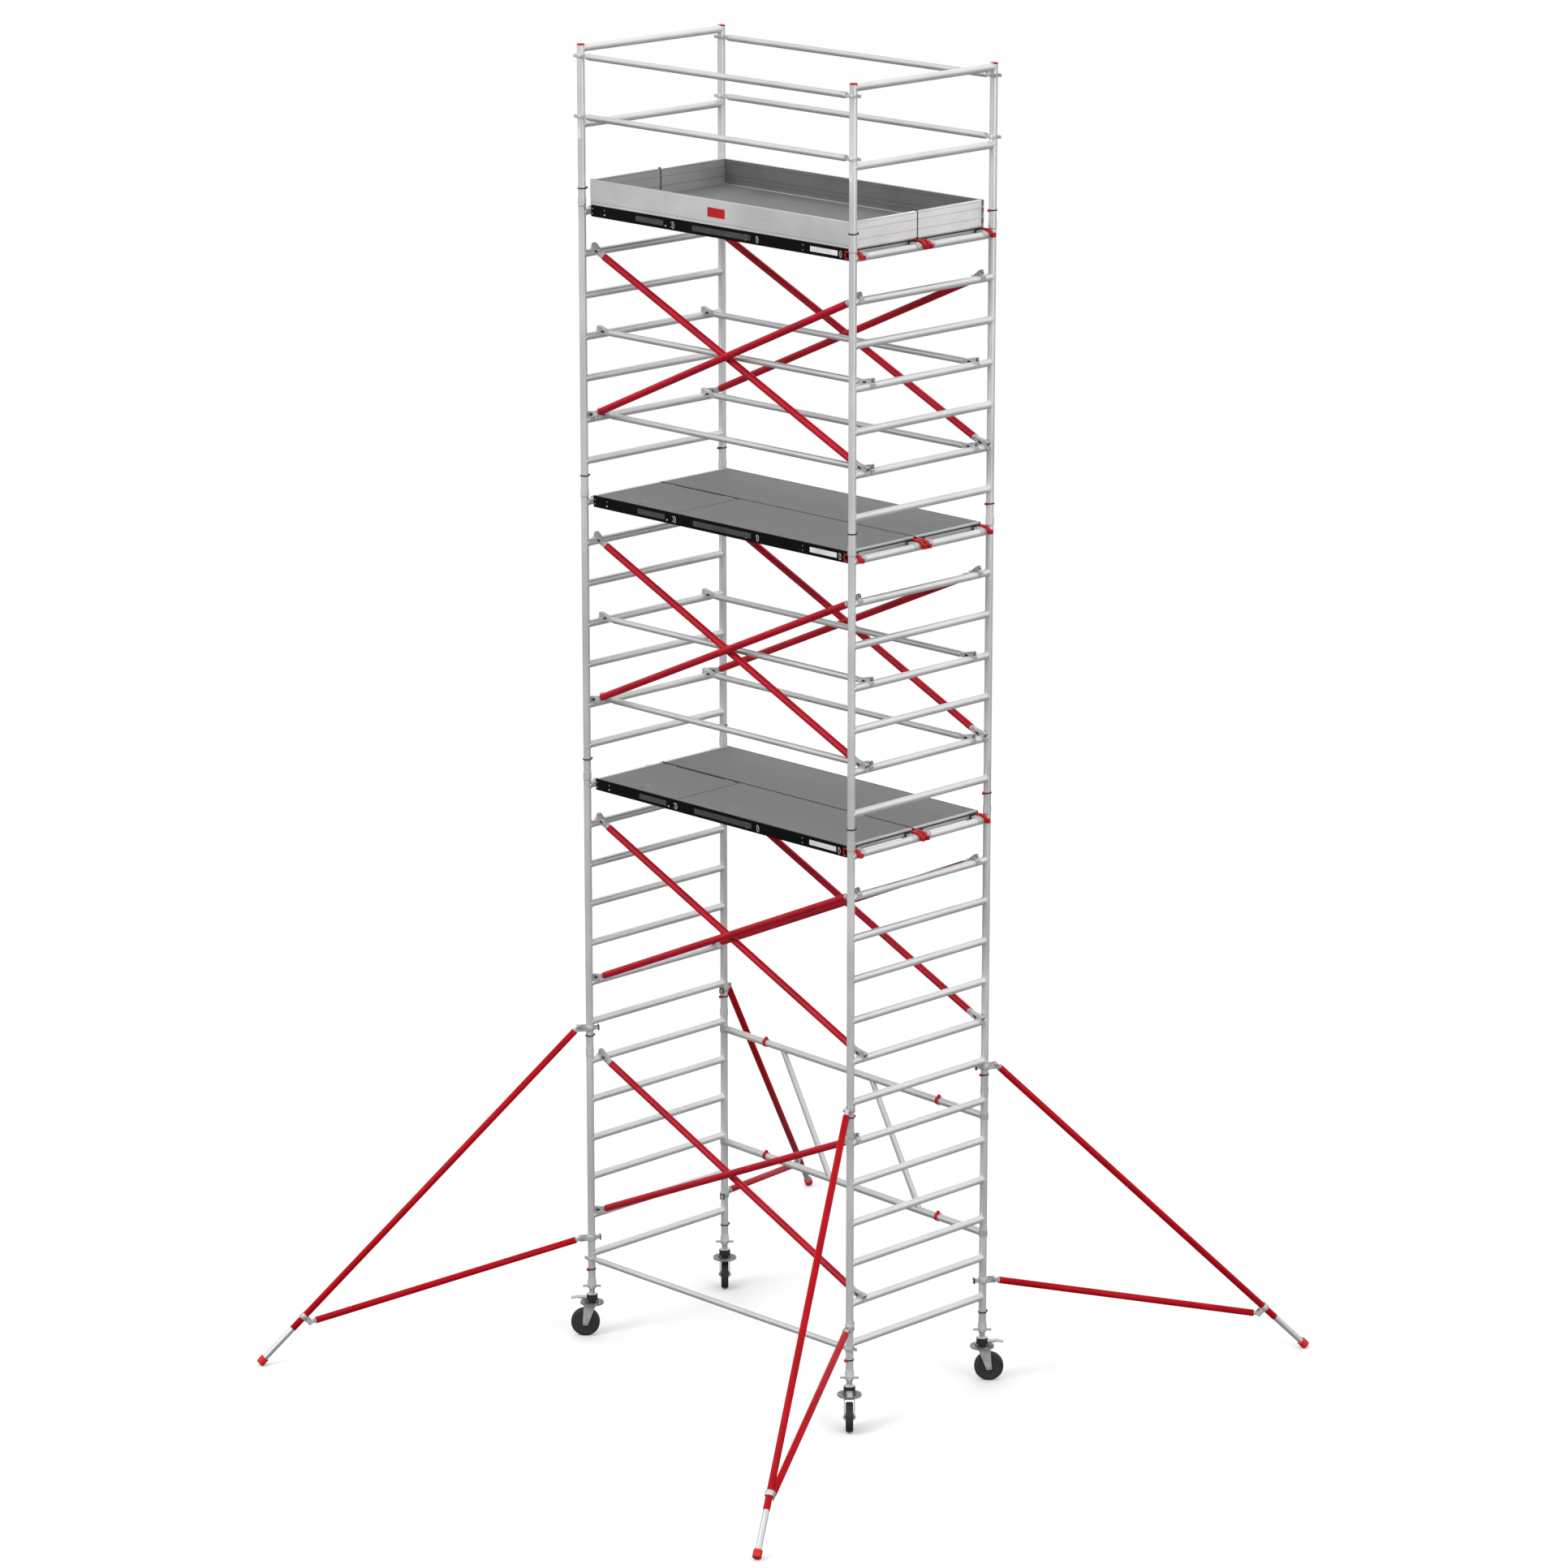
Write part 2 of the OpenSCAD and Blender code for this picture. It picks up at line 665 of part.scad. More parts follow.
// Levelling nut with four wings, on the spindle under the post
module castor_nut(c) {
    color(alloy) at_corner(c) translate([0, 0, nut_bottom_z]) difference() {
        union() {
            cylinder(h = nut_h, d = nut_hub_d);
            for (a = [45, 135]) rotate([0, 0, a]) translate([-nut_span / 2, -wing_w / 2, 8])
                cube([nut_span, wing_w, nut_h - 12]);
        }
        translate([0, 0, -1]) cylinder(h = nut_h + 2, d = spindle_d + 2 * running_fit);
    }
}

// Swivel flange, crown and two cheeks, with the axle
module castor_fork(c) {
    crown_z = flange_top_z - flange_t - 26;
    cheek_low = 20;
    cheek = [[-30, crown_z + 26], [56, crown_z + 26], [castor_trail + 20, axle_z - 14],
        [castor_trail + 6, axle_z - cheek_low], [castor_trail - 16, axle_z - cheek_low]];
    color(alloy_dark) outward(c, 45) {
        translate([0, 0, flange_top_z - flange_t]) cylinder(h = flange_t, d = flange_d);
        translate([-34, -fork_in - fork_t, crown_z + 12]) cube([90, 2 * (fork_in + fork_t), crown_plate_t]);
        for (s = [-1, 1]) translate([0, s > 0 ? fork_in + fork_t : -fork_in, 0]) rotate([90, 0, 0])
            linear_extrude(fork_t) polygon(cheek);
        translate([castor_trail, 0, axle_z]) along_y(-fork_in - fork_t - 6)
            cylinder(h = 2 * (fork_in + fork_t + 6), d = axle_d);
        for (s = [0, 1]) mirror([0, s, 0]) translate([castor_trail, 0, axle_z])
            along_y(fork_in + fork_t - 0.5) cylinder(h = axle_head_h, d = axle_d + 8, $fn = 6);
        for (s = [0, 1]) mirror([0, s, 0]) translate([lever_pin_u - 9, lever_w / 2 + 1, flange_top_z - 1])
            cube([18, lever_ear_t, lever_pin_z - flange_top_z + 9]);
        translate([lever_pin_u, 0, lever_pin_z]) along_y(-lever_w / 2 - lever_ear_t)
            cylinder(h = lever_w + 2 * lever_ear_t, d = lever_pin_d);
    }
}

module castor_wheel(c) {
    hub_w = 2 * (fork_in - 0.4);
    edge = 10;
    outward(c, 45) translate([castor_trail, 0, axle_z]) rotate([90, 0, 0]) color(black)
        rotate_extrude() difference() {
            union() {
                translate([axle_d / 2 + running_fit, -hub_w / 2]) square([16, hub_w]);
                translate([axle_d / 2 + running_fit, -15]) square([wheel_d / 2 - 30, 30]);
                translate([wheel_d / 2 - 28, -wheel_w / 2]) square([28 - edge, wheel_w]);
                translate([wheel_d / 2 - edge, -wheel_w / 2 + edge]) square([edge, wheel_w - 2 * edge]);
                for (s = [-1, 1]) translate([wheel_d / 2 - edge, s * (wheel_w / 2 - edge)]) circle(r = edge);
            }
        }
}

// Brake pedal on the swivel, over the wheel
module castor_brake(c) {
    pedal = [[-9, -8], [9, -8], [44, 4], [92, -2], [94, 4], [46, 14], [8, 10], [-9, 8]];
    color(alloy_dark) outward(c, 45) translate([lever_pin_u, 0, lever_pin_z]) difference() {
        translate([0, lever_w / 2, 0]) rotate([90, 0, 0]) linear_extrude(lever_w) polygon(pedal);
        along_y(-lever_w) cylinder(h = 2 * lever_w, d = lever_pin_d + 2 * running_fit);
    }
}

// ---------- stabilisers: local +X is outward ----------

// Band round a tube of diameter d that runs along Z, with a clevis out to a pin at x
module clevis_clamp(d, x, z_pin, toggle) {
    difference() {
        union() {
            translate([0, 0, -clamp_h / 2]) cylinder(h = clamp_h, d = d + 2 * clamp_t);
            for (s = [0, 1]) mirror([0, s, 0]) translate([d / 2 - 6, clevis_in, -clamp_h / 2])
                cube([x - d / 2 + 18, clevis_t, clamp_h / 2 + max(z_pin + 8, clamp_h / 2)]);
        }
        translate([0, 0, -clamp_h]) cylinder(h = 2 * clamp_h, d = d + 2 * seat_gap);
    }
    translate([x, 0, z_pin]) along_y(-clevis_in - clevis_t - 4)
        cylinder(h = 2 * (clevis_in + clevis_t + 4), d = pivot_pin_d);
    if (toggle) {
        translate([-d / 2 - 34, -9, -13]) cube([30, 18, 26]);
        translate([-d / 2 - 40, -16, -19]) cube([8, 32, 38]);
    }
}

// Children on the axis of the upper strut, along local +Z from its pivot
module on_strut() translate([stab_pivot_u, 0, stab_top_z]) rotate([0, 90 + stab_slope, 0]) children();

module stabiliser_clamps(c) {
    band_drop = 14;
    color(alloy_dark) outward(c, stab_angle) {
        translate([0, 0, stab_top_z - band_drop]) clevis_clamp(post_d, stab_pivot_u, band_drop, true);
        translate([0, 0, stab_low_z]) clevis_clamp(post_d, stab_pivot_u, 0, true);
        on_strut() translate([0, 0, collar_s]) clevis_clamp(stab_d, collar_drop, 0, false);
    }
}

// Cast eye on a pivot pin, with a plug in the tube that runs along local +Z
module eye(plug_at) {
    difference() {
        union() {
            along_y(-clevis_in + 1) cylinder(h = 2 * clevis_in - 2, d = 26);
            translate([-11, -clevis_in + 1, 0]) cube([22, 2 * clevis_in - 2, plug_at - 0.3]);
            translate([0, 0, plug_at - 6]) cylinder(h = 5.7, d = stab_d - 2);
            translate([0, 0, plug_at - 1]) cylinder(h = 45, d = stab_bore - 0.4);
        }
        along_y(-clevis_in) cylinder(h = 2 * clevis_in, d = pivot_pin_d + 2 * running_fit);
    }
}

module stabiliser_struts(c) {
    plug_at = 40;
    outward(c, stab_angle) {
        on_strut() {
            color(red) translate([0, 0, plug_at]) tube(stab_d, stab_bore, stab_strut_l - plug_at);
            color(alloy_dark) eye(plug_at);
        }
        translate([stab_pivot_u, 0, stab_low_z]) rotate([0, 90 + low_angle, 0]) {
            color(red) translate([0, 0, plug_at]) tube(stab_d, stab_bore, low_length - 2 * plug_at);
            color(alloy_dark) eye(plug_at);
            color(alloy_dark) translate([0, 0, low_length]) rotate([180, 0, 0]) eye(plug_at);
        }
    }
}

module stabiliser_foot(c) {
    outward(c, stab_angle) on_strut() {
        color(alloy) translate([0, 0, stab_strut_l - foot_tube_in])
            tube(foot_tube_d, foot_tube_d - 2 * tube_wall, foot_end_s - stab_strut_l + foot_tube_in - 12);
        color(plastic_red) translate([0, 0, foot_end_s - foot_len]) rotate_extrude() difference() {
            union() {
                square([foot_d / 2, foot_len - foot_round]);
                square([foot_d / 2 - foot_round, foot_len]);
                translate([foot_d / 2 - foot_round, foot_len - foot_round]) circle(r = foot_round);
            }
            translate([0, -1]) square([foot_tube_d / 2 + seat_gap, foot_len - 10.8]);
        }
    }
}

base_frame(-1);  // base_frame_left
base_frame(1);  // base_frame_right
ladder_frames(1);  // ladder_frames_2
ladder_frames(2);  // ladder_frames_3
ladder_frames(3);  // ladder_frames_4
guard_frames();
post_caps();
interlock_clips();
diagonal_braces();
guardrails();
hook_castings();
base_hinge_stubs();
base_fold_panel();
base_fold_clips();
deck_panels(0);  // deck_panels_1
deck_panels(1);  // deck_panels_2
deck_panels(2);  // deck_panels_3
deck_beams();
deck_cross_members();
deck_fittings();
hatch(0);  // hatch_1
hatch(1);  // hatch_2
hatch(2);  // hatch_3
windlocks(0);  // windlocks_1
windlocks(1);  // windlocks_2
windlocks(2);  // windlocks_3
toe_boards_side();
toe_boards_end();
castor_leg(front_left);  // castor_leg_front_left
castor_leg(back_left);  // castor_leg_back_left
castor_leg(back_right);  // castor_leg_back_right
castor_leg(front_right);  // castor_leg_front_right
castor_nut(front_left);  // castor_nut_front_left
castor_nut(back_left);  // castor_nut_back_left
castor_nut(back_right);  // castor_nut_back_right
castor_nut(front_right);  // castor_nut_front_right
castor_fork(front_left);  // castor_fork_front_left
castor_fork(back_left);  // castor_fork_back_left
castor_fork(back_right);  // castor_fork_back_right
castor_fork(front_right);  // castor_fork_front_right
castor_wheel(front_left);  // castor_wheel_front_left
castor_wheel(back_left);  // castor_wheel_back_left
castor_wheel(back_right);  // castor_wheel_back_right
castor_wheel(front_right);  // castor_wheel_front_right
castor_brake(front_left);  // castor_brake_front_left
castor_brake(back_left);  // castor_brake_back_left
castor_brake(back_right);  // castor_brake_back_right
castor_brake(front_right);  // castor_brake_front_right
stabiliser_clamps(front_left);  // stabiliser_clamps_front_left
stabiliser_clamps(back_left);  // stabiliser_clamps_back_left
stabiliser_clamps(back_right);  // stabiliser_clamps_back_right
stabiliser_clamps(front_right);  // stabiliser_clamps_front_right
stabiliser_struts(front_left);  // stabiliser_struts_front_left
stabiliser_struts(back_left);  // stabiliser_struts_back_left
stabiliser_struts(back_right);  // stabiliser_struts_back_right
stabiliser_struts(front_right);  // stabiliser_struts_front_right
stabiliser_foot(front_left);  // stabiliser_foot_front_left
stabiliser_foot(back_left);  // stabiliser_foot_back_left
stabiliser_foot(back_right);  // stabiliser_foot_back_right
stabiliser_foot(front_right);  // stabiliser_foot_front_right
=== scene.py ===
import math

import bmesh
import bpy
import numpy as np
from mathutils import Matrix, Vector


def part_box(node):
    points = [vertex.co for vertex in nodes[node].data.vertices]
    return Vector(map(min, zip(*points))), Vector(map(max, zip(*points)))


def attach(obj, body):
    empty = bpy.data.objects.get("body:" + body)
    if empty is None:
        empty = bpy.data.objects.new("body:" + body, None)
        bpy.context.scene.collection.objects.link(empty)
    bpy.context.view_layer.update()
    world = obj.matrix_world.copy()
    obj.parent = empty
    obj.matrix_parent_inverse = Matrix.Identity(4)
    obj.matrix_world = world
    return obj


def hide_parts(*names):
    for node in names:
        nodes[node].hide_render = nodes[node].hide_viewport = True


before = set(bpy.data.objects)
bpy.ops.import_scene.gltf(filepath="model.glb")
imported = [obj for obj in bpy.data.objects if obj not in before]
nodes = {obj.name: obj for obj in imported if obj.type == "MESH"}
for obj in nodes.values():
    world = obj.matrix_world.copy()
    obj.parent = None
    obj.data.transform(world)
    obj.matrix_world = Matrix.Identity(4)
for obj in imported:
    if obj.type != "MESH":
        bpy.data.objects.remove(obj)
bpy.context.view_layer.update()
CORNERS = {"front_left": (-1, -1), "back_left": (-1, 1), "back_right": (1, 1), "front_right": (1, -1)}
LEVELS = (1, 2, 3)

# ---------------------------------------------------------------- camera, floor and light

CAMERA_PLACE = (26.749, -26.722, 14.356)
CAMERA_TURN = math.radians(45.04)
CAMERA_PITCH = math.radians(15.2)
LENS_MM = 134.3
SENSOR_MM = 36.0


def make_camera():
    data = bpy.data.cameras.new("camera")
    data.lens = LENS_MM
    data.sensor_width = SENSOR_MM
    data.clip_end = 500
    camera = bpy.data.objects.new("camera", data)
    camera.location = CAMERA_PLACE
    camera.rotation_euler = (math.pi / 2 - CAMERA_PITCH, 0, CAMERA_TURN)
    bpy.context.scene.collection.objects.link(camera)
    bpy.context.scene.camera = camera


def make_floor():
    """A pale floor that the metal doesn't mirror, so tubes stay darker underneath, as in a studio."""
    mesh = bpy.data.meshes.new("floor")
    half = 300
    corners = [(-half, -half, 0), (half, -half, 0), (half, half, 0), (-half, half, 0)]
    mesh.from_pydata(corners, [], [(0, 1, 2, 3)])
    floor = bpy.data.objects.new("floor", mesh)
    bpy.context.scene.collection.objects.link(floor)
    floor.data.materials.append(floor_material())
    floor.visible_glossy = False
    floor.visible_diffuse = False


def floor_material():
    material = bpy.data.materials.new("floor_pale")
    material.use_nodes = True
    shader = material.node_tree.nodes["Principled BSDF"]
    shader.inputs["Base Color"].default_value = (0.95, 0.95, 0.95, 1)
    shader.inputs["Roughness"].default_value = 0.9
    shader.inputs["Specular IOR Level"].default_value = 0.1
    return material


def add_area(name, place, target, size, power):
    data = bpy.data.lights.new(name, "AREA")
    data.shape = "RECTANGLE"
    data.size, data.size_y = size
    data.energy = power
    light = bpy.data.objects.new(name, data)
    light.location = place
    aim = Vector(target) - Vector(place)
    light.rotation_euler = aim.to_track_quat("-Z", "Y").to_euler()
    bpy.context.scene.collection.objects.link(light)


def make_light():
    """A white dome that darkens towards the ground, with a large soft light on either side."""
    world = bpy.data.worlds.new("studio")
    bpy.context.scene.world = world
    world.use_nodes = True
    tree = world.node_tree
    background = tree.nodes["Background"]
    background.inputs["Strength"].default_value = 1.05
    direction = tree.nodes.new("ShaderNodeTexCoord")
    split = tree.nodes.new("ShaderNodeSeparateXYZ")
    ramp = tree.nodes.new("ShaderNodeValToRGB")
    half = tree.nodes.new("ShaderNodeMath")
    half.operation = "MULTIPLY_ADD"
    half.inputs[1].default_value = 0.5
    half.inputs[2].default_value = 0.5
    tree.links.new(direction.outputs["Generated"], split.inputs[0])
    tree.links.new(split.outputs["Z"], half.inputs[0])
    tree.links.new(half.outputs[0], ramp.inputs["Fac"])
    tree.links.new(ramp.outputs["Color"], background.inputs["Color"])
    shades = ((0.0, 0.16), (0.36, 0.22), (0.5, 0.62), (0.66, 1.0), (1.0, 1.0))
    elements = ramp.color_ramp.elements
    elements[0].position, elements[0].color = shades[0][0], (*(shades[0][1],) * 3, 1)
    elements[1].position, elements[1].color = shades[-1][0], (*(shades[-1][1],) * 3, 1)
    for place, shade in shades[1:-1]:
        elements.new(place).color = (shade, shade, shade, 1)
    add_area("key", (-4, -24, 20), (0, 0, 4.5), (10, 12), 3000)
    add_area("side", (26, -2, 12), (0, 0, 5), (8, 14), 1500)
    bpy.context.scene.view_settings.view_transform = "Standard"


# ---------------------------------------------------------------- materials


class Nodes:
    """Short names for building one shader tree."""

    def __init__(self, name):
        self.material = bpy.data.materials.new(name)
        self.material.use_nodes = True
        self.tree = self.material.node_tree
        self.shader = self.tree.nodes["Principled BSDF"]

    def add(self, kind, **values):
        node = self.tree.nodes.new(kind)
        for key, value in values.items():
            if key in node.inputs:
                node.inputs[key].default_value = value
            else:
                setattr(node, key, value)
        return node

    def link(self, source, target):
        self.tree.links.new(source, target)

    def position(self, scale=(1, 1, 1)):
        coordinates = self.add("ShaderNodeTexCoord")
        mapping = self.add("ShaderNodeMapping")
        mapping.inputs["Scale"].default_value = scale
        self.link(coordinates.outputs["Object"], mapping.inputs["Vector"])
        return mapping.outputs["Vector"]

    def noise(self, vector, scale, detail=3.0, roughness=0.5):
        node = self.add("ShaderNodeTexNoise")
        node.inputs["Scale"].default_value = scale
        node.inputs["Detail"].default_value = detail
        node.inputs["Roughness"].default_value = roughness
        self.link(vector, node.inputs["Vector"])
        return node.outputs["Fac"]

    def ramp(self, value, stops):
        node = self.add("ShaderNodeValToRGB")
        ramp = node.color_ramp
        ramp.elements[0].position, ramp.elements[0].color = stops[0][0], (*stops[0][1], 1)
        ramp.elements[1].position, ramp.elements[1].color = stops[-1][0], (*stops[-1][1], 1)
        for place, color in stops[1:-1]:
            ramp.elements.new(place).color = (*color, 1)
        self.link(value, node.inputs["Fac"])
        return node.outputs["Color"]

    def map_range(self, value, low, high, to_low, to_high):
        node = self.add("ShaderNodeMapRange")
        node.inputs["From Min"].default_value = low
        node.inputs["From Max"].default_value = high
        node.inputs["To Min"].default_value = to_low
        node.inputs["To Max"].default_value = to_high
        self.link(value, node.inputs["Value"])
        return node.outputs["Result"]

    def bump(self, height, strength, distance):
        node = self.add("ShaderNodeBump")
        node.inputs["Strength"].default_value = strength
        node.inputs["Distance"].default_value = distance
        self.link(height, node.inputs["Height"])
        self.link(node.outputs["Normal"], self.shader.inputs["Normal"])


def tint(color, factor):
    return tuple(min(1.0, c * factor) for c in color)


def aluminium(name, color, along, grain=0.5, rough=(0.32, 0.48), metallic=0.65):
    """Extruded metal: die lines that run along the tube, soft blotches of oxide, fine scratches."""
    n = Nodes(name)
    stretch = {"x": (1, 40, 40), "y": (40, 1, 40), "z": (40, 40, 1), "none": (12, 12, 12)}[along]
    lines = n.noise(n.position(stretch), 14, 2)
    blotch = n.noise(n.position(), 2.2, 4)
    mix = n.add("ShaderNodeMath", operation="MULTIPLY_ADD")
    n.link(lines, mix.inputs[0])
    mix.inputs[1].default_value = grain
    n.link(blotch, mix.inputs[2])
    low, high = tint(color, 0.86), tint(color, 1.05)
    n.link(n.ramp(mix.outputs[0], [(0.45, low), (1.05, high)]), n.shader.inputs["Base Color"])
    n.link(n.map_range(blotch, 0.3, 0.7, *rough), n.shader.inputs["Roughness"])
    n.shader.inputs["Metallic"].default_value = metallic
    n.bump(lines, 0.12, 0.0006)
    return n.material


def cast_metal(name, color, rough=0.5, metallic=0.6):
    """Die-cast metal with a pebbled skin."""
    n = Nodes(name)
    grit = n.noise(n.position(), 260, 3)
    cloud = n.noise(n.position(), 18, 4)
    n.link(n.ramp(cloud, [(0.3, tint(color, 0.75)), (0.7, tint(color, 1.08))]), n.shader.inputs["Base Color"])
    n.link(n.map_range(grit, 0.3, 0.7, rough - 0.08, rough + 0.1), n.shader.inputs["Roughness"])
    n.shader.inputs["Metallic"].default_value = metallic
    n.bump(grit, 0.25, 0.0006)
    return n.material


def powder_coat(name, color, deep, rough=0.3, gloss=0.35):
    """Smooth powder coat with a light orange peel and a deeper tone where it pools."""
    n = Nodes(name)
    peel = n.noise(n.position(), 420, 2)
    tone = n.noise(n.position(), 5, 3)
    n.link(n.ramp(tone, [(0.35, deep), (0.65, color)]), n.shader.inputs["Base Color"])
    n.link(n.map_range(peel, 0.3, 0.7, rough - 0.05, rough + 0.08), n.shader.inputs["Roughness"])
    n.shader.inputs["Specular IOR Level"].default_value = gloss
    n.bump(peel, 0.08, 0.0003)
    return n.material


def plastic(name, color, rough=0.42, grain=300, gloss=0.3):
    """Moulded plastic with a fine spark-eroded texture."""
    n = Nodes(name)
    texture = n.noise(n.position(), grain, 2)
    shade = n.noise(n.position(), 9, 3)
    n.link(n.ramp(shade, [(0.3, tint(color, 0.8)), (0.7, tint(color, 1.1))]), n.shader.inputs["Base Color"])
    n.link(n.map_range(texture, 0.3, 0.7, rough - 0.06, rough + 0.1), n.shader.inputs["Roughness"])
    n.shader.inputs["Specular IOR Level"].default_value = gloss
    n.bump(texture, 0.2, 0.0004)
    return n.material


def deck_material(name, color):
    """Phenolic-faced ply: a fine anti-slip print of small squares, with scuffs."""
    n = Nodes(name)
    place = n.position()
    cells = n.add("ShaderNodeTexVoronoi", feature="DISTANCE_TO_EDGE")
    cells.inputs["Scale"].default_value = 150
    cells.inputs["Randomness"].default_value = 0.15
    n.link(place, cells.inputs["Vector"])
    scuff = n.noise(place, 3.2, 5, 0.6)
    n.link(n.ramp(scuff, [(0.3, tint(color, 0.86)), (0.7, tint(color, 1.1))]), n.shader.inputs["Base Color"])
    n.link(n.map_range(scuff, 0.3, 0.7, 0.5, 0.68), n.shader.inputs["Roughness"])
    n.bump(cells.outputs["Distance"], 0.3, 0.0006)
    return n.material


ALLOY = (0.8, 0.8, 0.803)
CAST = (0.6, 0.6, 0.605)
BRACE_RED = (0.47, 0.004, 0.018)
STABILISER_RED = (0.46, 0.002, 0.008)


def board_material(name, color, along, grooves):
    """Toe board: extruded metal with the shade that collects in its grooves."""
    material = aluminium(name, color, along, 0.6, (0.42, 0.58))
    tree = material.node_tree
    shader = tree.nodes["Principled BSDF"]
    color_link = shader.inputs["Base Color"].links[0]
    place = tree.nodes.new("ShaderNodeTexCoord")
    split = tree.nodes.new("ShaderNodeSeparateXYZ")
    tree.links.new(place.outputs["Object"], split.inputs[0])
    low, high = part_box("toe_boards_end")[0].z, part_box("toe_boards_end")[1].z
    shade = None
    for share in grooves:
        groove = tree.nodes.new("ShaderNodeMath")
        groove.operation = "COMPARE"
        groove.inputs[1].default_value = low + share * (high - low)
        groove.inputs[2].default_value = 0.0022
        tree.links.new(split.outputs["Z"], groove.inputs[0])
        if shade is None:
            shade = groove.outputs[0]
            continue
        either = tree.nodes.new("ShaderNodeMath")
        either.operation = "MAXIMUM"
        tree.links.new(shade, either.inputs[0])
        tree.links.new(groove.outputs[0], either.inputs[1])
        shade = either.outputs[0]
    mix = tree.nodes.new("ShaderNodeMix")
    mix.data_type = "RGBA"
    mix.blend_type = "MULTIPLY"
    mix.inputs["B"].default_value = (0.7, 0.7, 0.7, 1)
    tree.links.new(shade, mix.inputs["Factor"])
    tree.links.new(color_link.from_socket, mix.inputs["A"])
    tree.links.new(mix.outputs["Result"], shader.inputs["Base Color"])
    return material


def spindle_material(name, color):
    """Trapezoidal thread, shown as rings at the thread's pitch: a bump, with painted shade that darkens the
    colour in the thread's roots.
    """
    n = Nodes(name)
    place = n.add("ShaderNodeTexCoord")
    wave = n.add("ShaderNodeTexWave", wave_type="BANDS", bands_direction="Z", wave_profile="SIN")
    wave.inputs["Scale"].default_value = math.pi / 10 / THREAD_PITCH
    n.link(place.outputs["Object"], wave.inputs["Vector"])
    # painted shade: the colour drops to 0.6 where the wave is low, in the thread's roots
    low, high = tint(color, 0.6), tint(color, 1.05)
    n.link(n.ramp(wave.outputs["Fac"], [(0.2, low), (0.6, high)]), n.shader.inputs["Base Color"])
    n.link(n.map_range(n.noise(n.position(), 60), 0.3, 0.7, 0.25, 0.4), n.shader.inputs["Roughness"])
    n.shader.inputs["Metallic"].default_value = 0.8
    n.bump(wave.outputs["Fac"], 0.5, 0.002)
    return n.material


def make_materials():
    return {
        "post": aluminium("frame_aluminium", ALLOY, "z"),
        "rung": aluminium("rung_aluminium", ALLOY, "y"),
        # painted shade: the frame alloy darkened to 0.78, for the shade on the undersides of the rails and
        # other tubes that use it
        "rail": aluminium("rail_aluminium", tint(ALLOY, 0.78), "x"),
        "board": board_material("board_aluminium", (0.66, 0.66, 0.66), "x", OUTER_GROOVES),
        "board_end": board_material("board_end_aluminium", (0.98, 0.95, 0.955), "y", END_GROOVES),
        # painted shade: the toe boards' inner faces get darker copies of the board colours, about 0.3 and 0.5
        # as bright as the outer faces
        "board_painted_shade": board_material("board_aluminium_painted_shade", (0.2, 0.2, 0.2), "x", INNER_GROOVES),
        "board_end_painted_shade": board_material("board_end_aluminium_painted_shade", (0.5, 0.48, 0.485), "y", END_GROOVES),
        "cast": cast_metal("cast_aluminium", CAST),
        "weld": cast_metal("weld_bead", ALLOY, 0.42, 0.7),
        "brace": powder_coat("brace_red", BRACE_RED, tint(BRACE_RED, 0.75), 0.3, 0.16),
        "stabiliser": powder_coat("stabiliser_red", STABILISER_RED, tint(STABILISER_RED, 0.8), 0.3, 0.08),
        "rubber": plastic("foot_rubber", (0.62, 0.02, 0.02), 0.6, 200),
        "red": plastic("plastic_red", (0.47, 0.005, 0.009), 0.4),
        "black": plastic("clip_black", (0.014, 0.014, 0.014), 0.45),
        "deck": deck_material("deck_panel", (0.17, 0.17, 0.17)),
        "beam": powder_coat("beam_black", (0.003, 0.003, 0.003), (0.002, 0.002, 0.002), 0.38, 0.08),
        "plate": plastic("plate_grey", (0.055, 0.055, 0.055), 0.4, 500),
        "label": plastic("label_white", (0.72, 0.72, 0.72), 0.45, 500),
        "steel": spindle_material("spindle_steel", (0.6, 0.6, 0.6)),
        "nut": cast_metal("nut_cast", (0.68, 0.68, 0.68), 0.42),
        "fork": cast_metal("fork_steel", (0.62, 0.61, 0.615), 0.42),
        "bolt": cast_metal("bolt_zinc", (0.5, 0.5, 0.48), 0.3, 0.9),
        "wheel": plastic("wheel_tread", (0.03, 0.03, 0.03), 0.6, 220),
        "hub": plastic("wheel_hub", (0.045, 0.045, 0.046), 0.5, 260),
        "housing": plastic("housing_black", (0.022, 0.022, 0.022), 0.5),
        "flange": cast_metal("flange_steel", (0.3, 0.3, 0.3), 0.42),
    }


# ---------------------------------------------------------------- sizes, from the frame

POST_R = 0.0254
RUNG_R = 0.025
RAIL_R = 0.021
RUNG_PITCH = 0.28
FIRST_RUNG = 0.6
TOP_RUNG = 27
THREAD_PITCH = 0.012
END_GROOVES = (0.3, 0.68, 0.93)
OUTER_GROOVES = (0.12,)
INNER_GROOVES = (0.2, 0.38, 0.85)
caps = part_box("post_caps")
HALF_L = caps[1].x - POST_R
HALF_W = caps[1].y - POST_R
HOOK_RISE = 0.018
BRACE_ANGLE = math.atan(4 * RUNG_PITCH / (2 * HALF_L))
BEAM_RIVETS = (-1.175, -1.06, -0.43, 0.26, 0.78, 1.165)
LABEL_TOP_Z = 8.446
LABEL_H = 0.076
CLIP_RING_R = POST_R + 0.0051
BOARD_SKIN = 0.014
STABILISER_ANGLE = 60
HOUSING_TOP_Z = 0.305
FLANGE_TOP_Z = 0.246
CLAMP_TOP_Z = 2.25
CLAMP_LOW_Z = 0.716
CLAMP_PIVOT_U = 0.076


def rung_z(n):
    return FIRST_RUNG + (n - 1) * RUNG_PITCH


# ---------------------------------------------------------------- painting the CAD nodes


